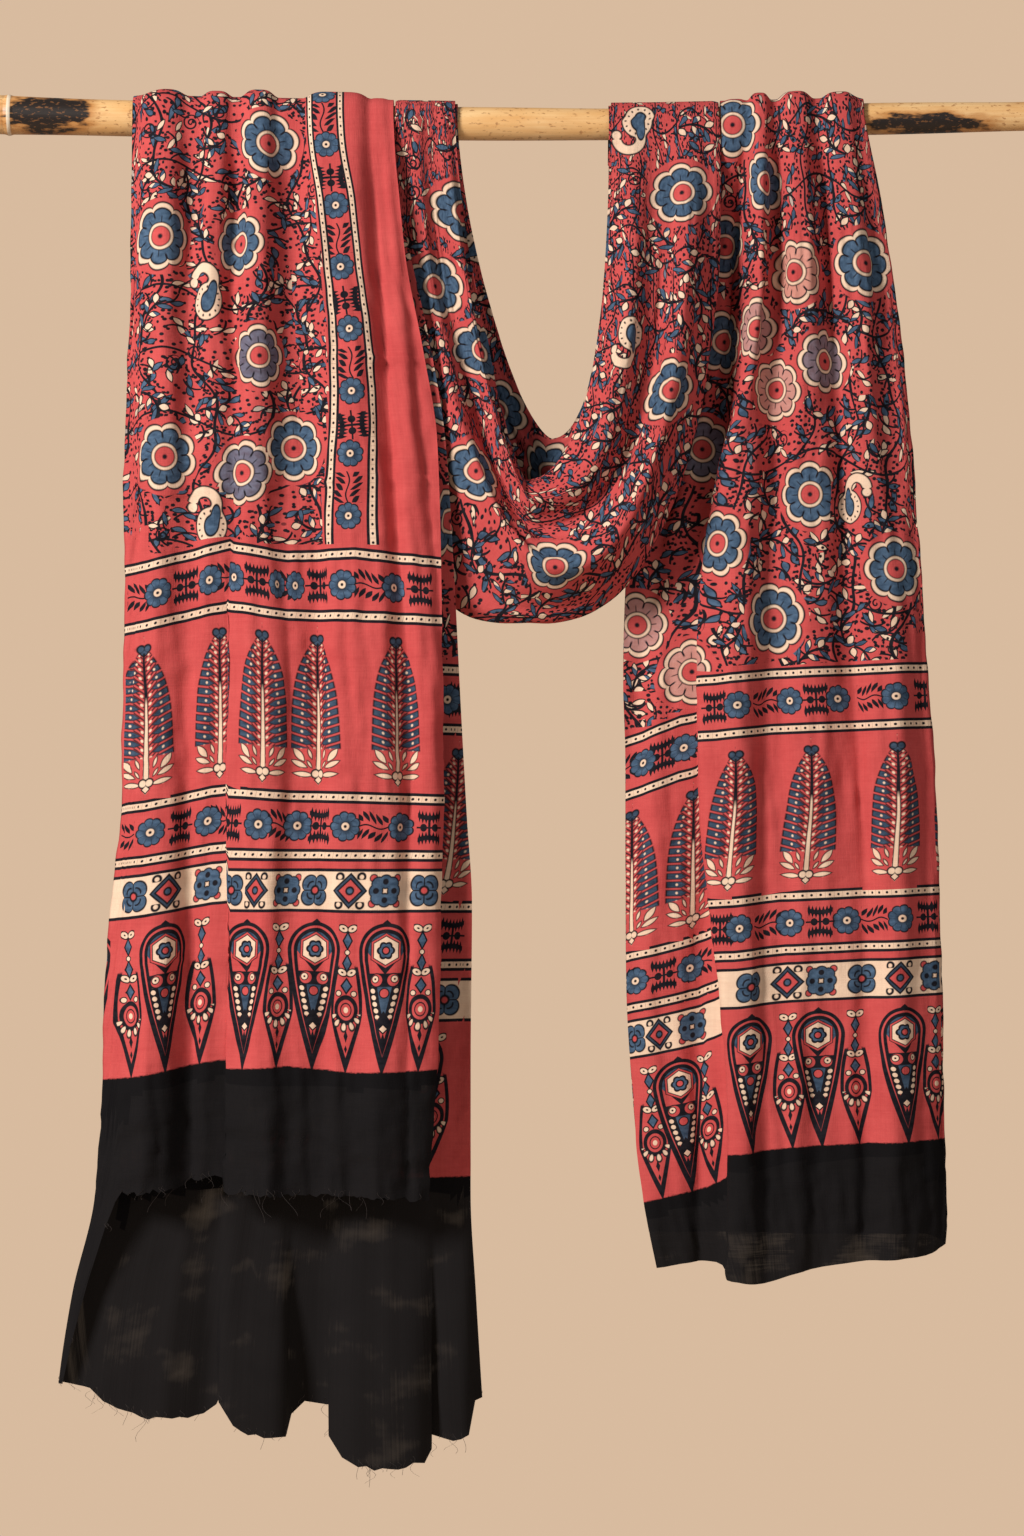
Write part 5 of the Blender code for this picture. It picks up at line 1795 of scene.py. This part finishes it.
def pole_material():
    made = bpy.data.materials.new("Bamboo")
    made.use_nodes = True
    tree_ = made.node_tree
    shader = tree_.nodes["Principled BSDF"]
    place, (across, down, _) = attribute(tree_, "grain")
    fibres = noise(tree_, place, 1.0, (0.012, 0.5, 0.0), 4.0)
    cloud = noise(tree_, place, 1.0, (0.02, 0.06, 0.0), 4.0)
    specks = noise(tree_, place, 1.0, (0.22, 0.5, 0.0), 3.0)
    share = (fibres * 0.9 + cloud * 1.5 - 0.75).clamped()
    colour = blended(tree_, STRAW_DARK, STRAW_LIGHT, share)
    tint = noise(tree_, place, 1.0, (0.008, 0.05, 0.0), 2.0)
    colour = colour.paint((0.74, 0.36, 0.10), tint.above(0.54, 0.16) * 0.45)
    colour = colour.paint((0.36, 0.15, 0.05), specks.above(0.62, 0.06) * 0.7)
    wander = noise(tree_, place, 1.0, (0.06, 0.22, 0.0), 5.0)
    for burn in BURNS:
        x = abs(across - burn.across) * (1 / burn.half)
        y = abs(down - burn.down) * (1 / burn.half_down)
        reach = (x.math("POWER", 2.0) + y.math("POWER", 2.0)) + (wander * 2.4 - 1.2)
        colour = colour.paint(SCORCH_HALO, reach.below(1.35, 0.9) * 0.8)
        colour = colour.paint(SCORCH, reach.below(0.80, 0.3))
        flecks = both(specks.above(0.60, 0.05), reach.below(0.7, 0.2))
        colour = colour.paint((0.22, 0.09, 0.03), flecks * 0.7)
    ring = abs(across - NODE_ACROSS).below(1.3, 0.8)
    colour = colour.paint((0.88, 0.78, 0.62), ring * 0.8)
    connect(tree_, colour, shader.inputs["Base Color"])
    shader.inputs["Roughness"].default_value = 0.42
    connect(tree_, bumped(tree_, fibres, 0.25, 0.0008), shader.inputs["Normal"])
    return made


def make_pole():
    shape = bmesh.new()
    bmesh.ops.create_cone(
        shape, cap_ends=True, segments=FINE_POLE_SIDES, radius1=1, radius2=1, depth=POLE_LENGTH
    )
    rings = np.linspace(-POLE_LENGTH / 2, POLE_LENGTH / 2, POLE_RINGS + 1)[1:-1]
    node_rings = np.linspace(-4, 4, 9) + NODE_ACROSS - POLE_LENGTH / 2
    for height in np.concatenate((rings, node_rings)):
        bmesh.ops.bisect_plane(
            shape,
            geom=shape.verts[:] + shape.edges[:] + shape.faces[:],
            plane_co=(0, 0, height),
            plane_no=(0, 0, 1),
        )
    grain = []
    for vert in shape.verts:
        across = vert.co.z + POLE_LENGTH / 2
        turn = math.atan2(vert.co.x, vert.co.y)
        radius = pole_radius(np.array([across]))[0] * (1 + 0.006 * math.sin(across / 23 + 2 * turn))
        down = pole_down(np.array([across]))[0] - vert.co.y * radius
        grain.append((across, down, turn * radius))
        vert.co = (across / METRE, vert.co.x * radius / METRE, -down / METRE)
    pole = add_piece("bamboo_pole", shape, pole_material())
    write(pole.data, "grain", "POINT", np.array(grain))
    pole.data.shade_smooth()
    pole.data.set_sharp_from_angle(angle=math.radians(40))
    return pole


THREADS = 130
THREAD_STEPS = 7
THREAD_HALF = 0.16
THREAD_COLOUR = (0.045, 0.035, 0.033)


def make_threads(sheet):
    """Loose ends at the frayed hems, as one mesh of thin three-sided strands."""
    draw = random.Random(55)
    shape = bmesh.new()
    columns_ = len(sheet.place)
    for _ in range(THREADS):
        column = draw.randrange(columns_)
        if sheet.place[column] < 0 and draw.random() < 0.45:
            column = draw.randrange(columns_ // 2, columns_)
        start = sheet.points[1, column]
        long = draw.choice((4, 6, 8, 10, 14, 22)) * draw.uniform(0.7, 1.2)
        sway, curl_, phase = draw.uniform(-0.5, 0.5), draw.uniform(0.5, 2.6), draw.uniform(0, 6.28)
        before = set(shape.verts)
        bmesh.ops.create_grid(shape, x_segments=3, y_segments=THREAD_STEPS, size=1)
        for vert in [vert for vert in shape.verts if vert not in before]:
            along = (vert.co.y + 1) / 2
            ring = (vert.co.x + 1) * math.pi
            bend = math.sin(phase + along * curl_ * 3) - math.sin(phase)
            x = start[0] + long * (sway * along + 0.22 * bend) + THREAD_HALF * math.cos(ring)
            y = start[1] - long * 0.12 * along + THREAD_HALF * math.sin(ring)
            z = start[2] - long * along * (1 - 0.25 * abs(sway))
            vert.co = (x / METRE, y / METRE, z / METRE)
    return add_piece("hem_threads", shape, plain_material("Loose thread", THREAD_COLOUR, 0.9))


BACKDROP = (0.687, 0.498, 0.347)
CAMERA_AIM = Vector((0.45, -0.03, -0.497))
CAMERA_DISTANCE = 3.2
SEEN_HEIGHT = 1.152


def make_stage():
    """A plain pale floor well below the cloth, soft light, and the camera at the photograph's angle."""
    scene = bpy.context.scene
    shape = bmesh.new()
    bmesh.ops.create_circle(shape, cap_ends=True, segments=96, radius=1.5)
    floor = add_piece("floor", shape, plain_material("Floor", BACKDROP, 0.9))
    floor.location = (0.45, 0.0, -1.5)

    world = bpy.data.worlds.new("Studio")
    world.use_nodes = True
    scene.world = world
    nodes, links = world.node_tree.nodes, world.node_tree.links
    seen = nodes["Background"]
    seen.inputs["Color"].default_value = (*BACKDROP, 1.0)
    fill = nodes.new("ShaderNodeBackground")
    fill.inputs["Color"].default_value = (0.86, 0.80, 0.74, 1.0)
    fill.inputs["Strength"].default_value = 0.21
    path = nodes.new("ShaderNodeLightPath")
    blend = nodes.new("ShaderNodeMixShader")
    links.new(path.outputs["Is Camera Ray"], blend.inputs[0])
    links.new(fill.outputs[0], blend.inputs[1])
    links.new(seen.outputs[0], blend.inputs[2])
    links.new(blend.outputs[0], nodes["World Output"].inputs["Surface"])

    for name, place, size, power, colour in (
        ("Key", (-1.9, -2.2, 1.0), 0.9, 150.0, (1.0, 0.965, 0.92)),
        ("Fill", (2.6, -2.4, -0.2), 1.6, 14.0, (1.0, 0.97, 0.93)),
    ):
        light = bpy.data.lights.new(name, "AREA")
        light.size = size
        light.energy = power
        light.color = colour
        lamp = bpy.data.objects.new(name, light)
        lamp.location = place
        lamp.rotation_euler = (CAMERA_AIM - Vector(place)).to_track_quat("-Z", "Y").to_euler()
        scene.collection.objects.link(lamp)

    lens = bpy.data.cameras.new("Camera")
    lens.sensor_width = 36.0
    lens.lens = lens.sensor_width * CAMERA_DISTANCE / SEEN_HEIGHT
    camera = bpy.data.objects.new("Camera", lens)
    camera.location = CAMERA_AIM - Vector((0.0, CAMERA_DISTANCE, 0.0))
    camera.rotation_euler = (math.pi / 2, 0.0, 0.0)
    scene.collection.objects.link(camera)
    scene.camera = camera
    scene.view_settings.view_transform = "Standard"


def main():
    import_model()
    cloth, sheet = make_cloth()
    pole = make_pole()
    threads = make_threads(sheet)
    for piece in (cloth, pole, threads):
        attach(piece, "root")
    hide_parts("cloth")
    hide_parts("pole")
    make_stage()


main()
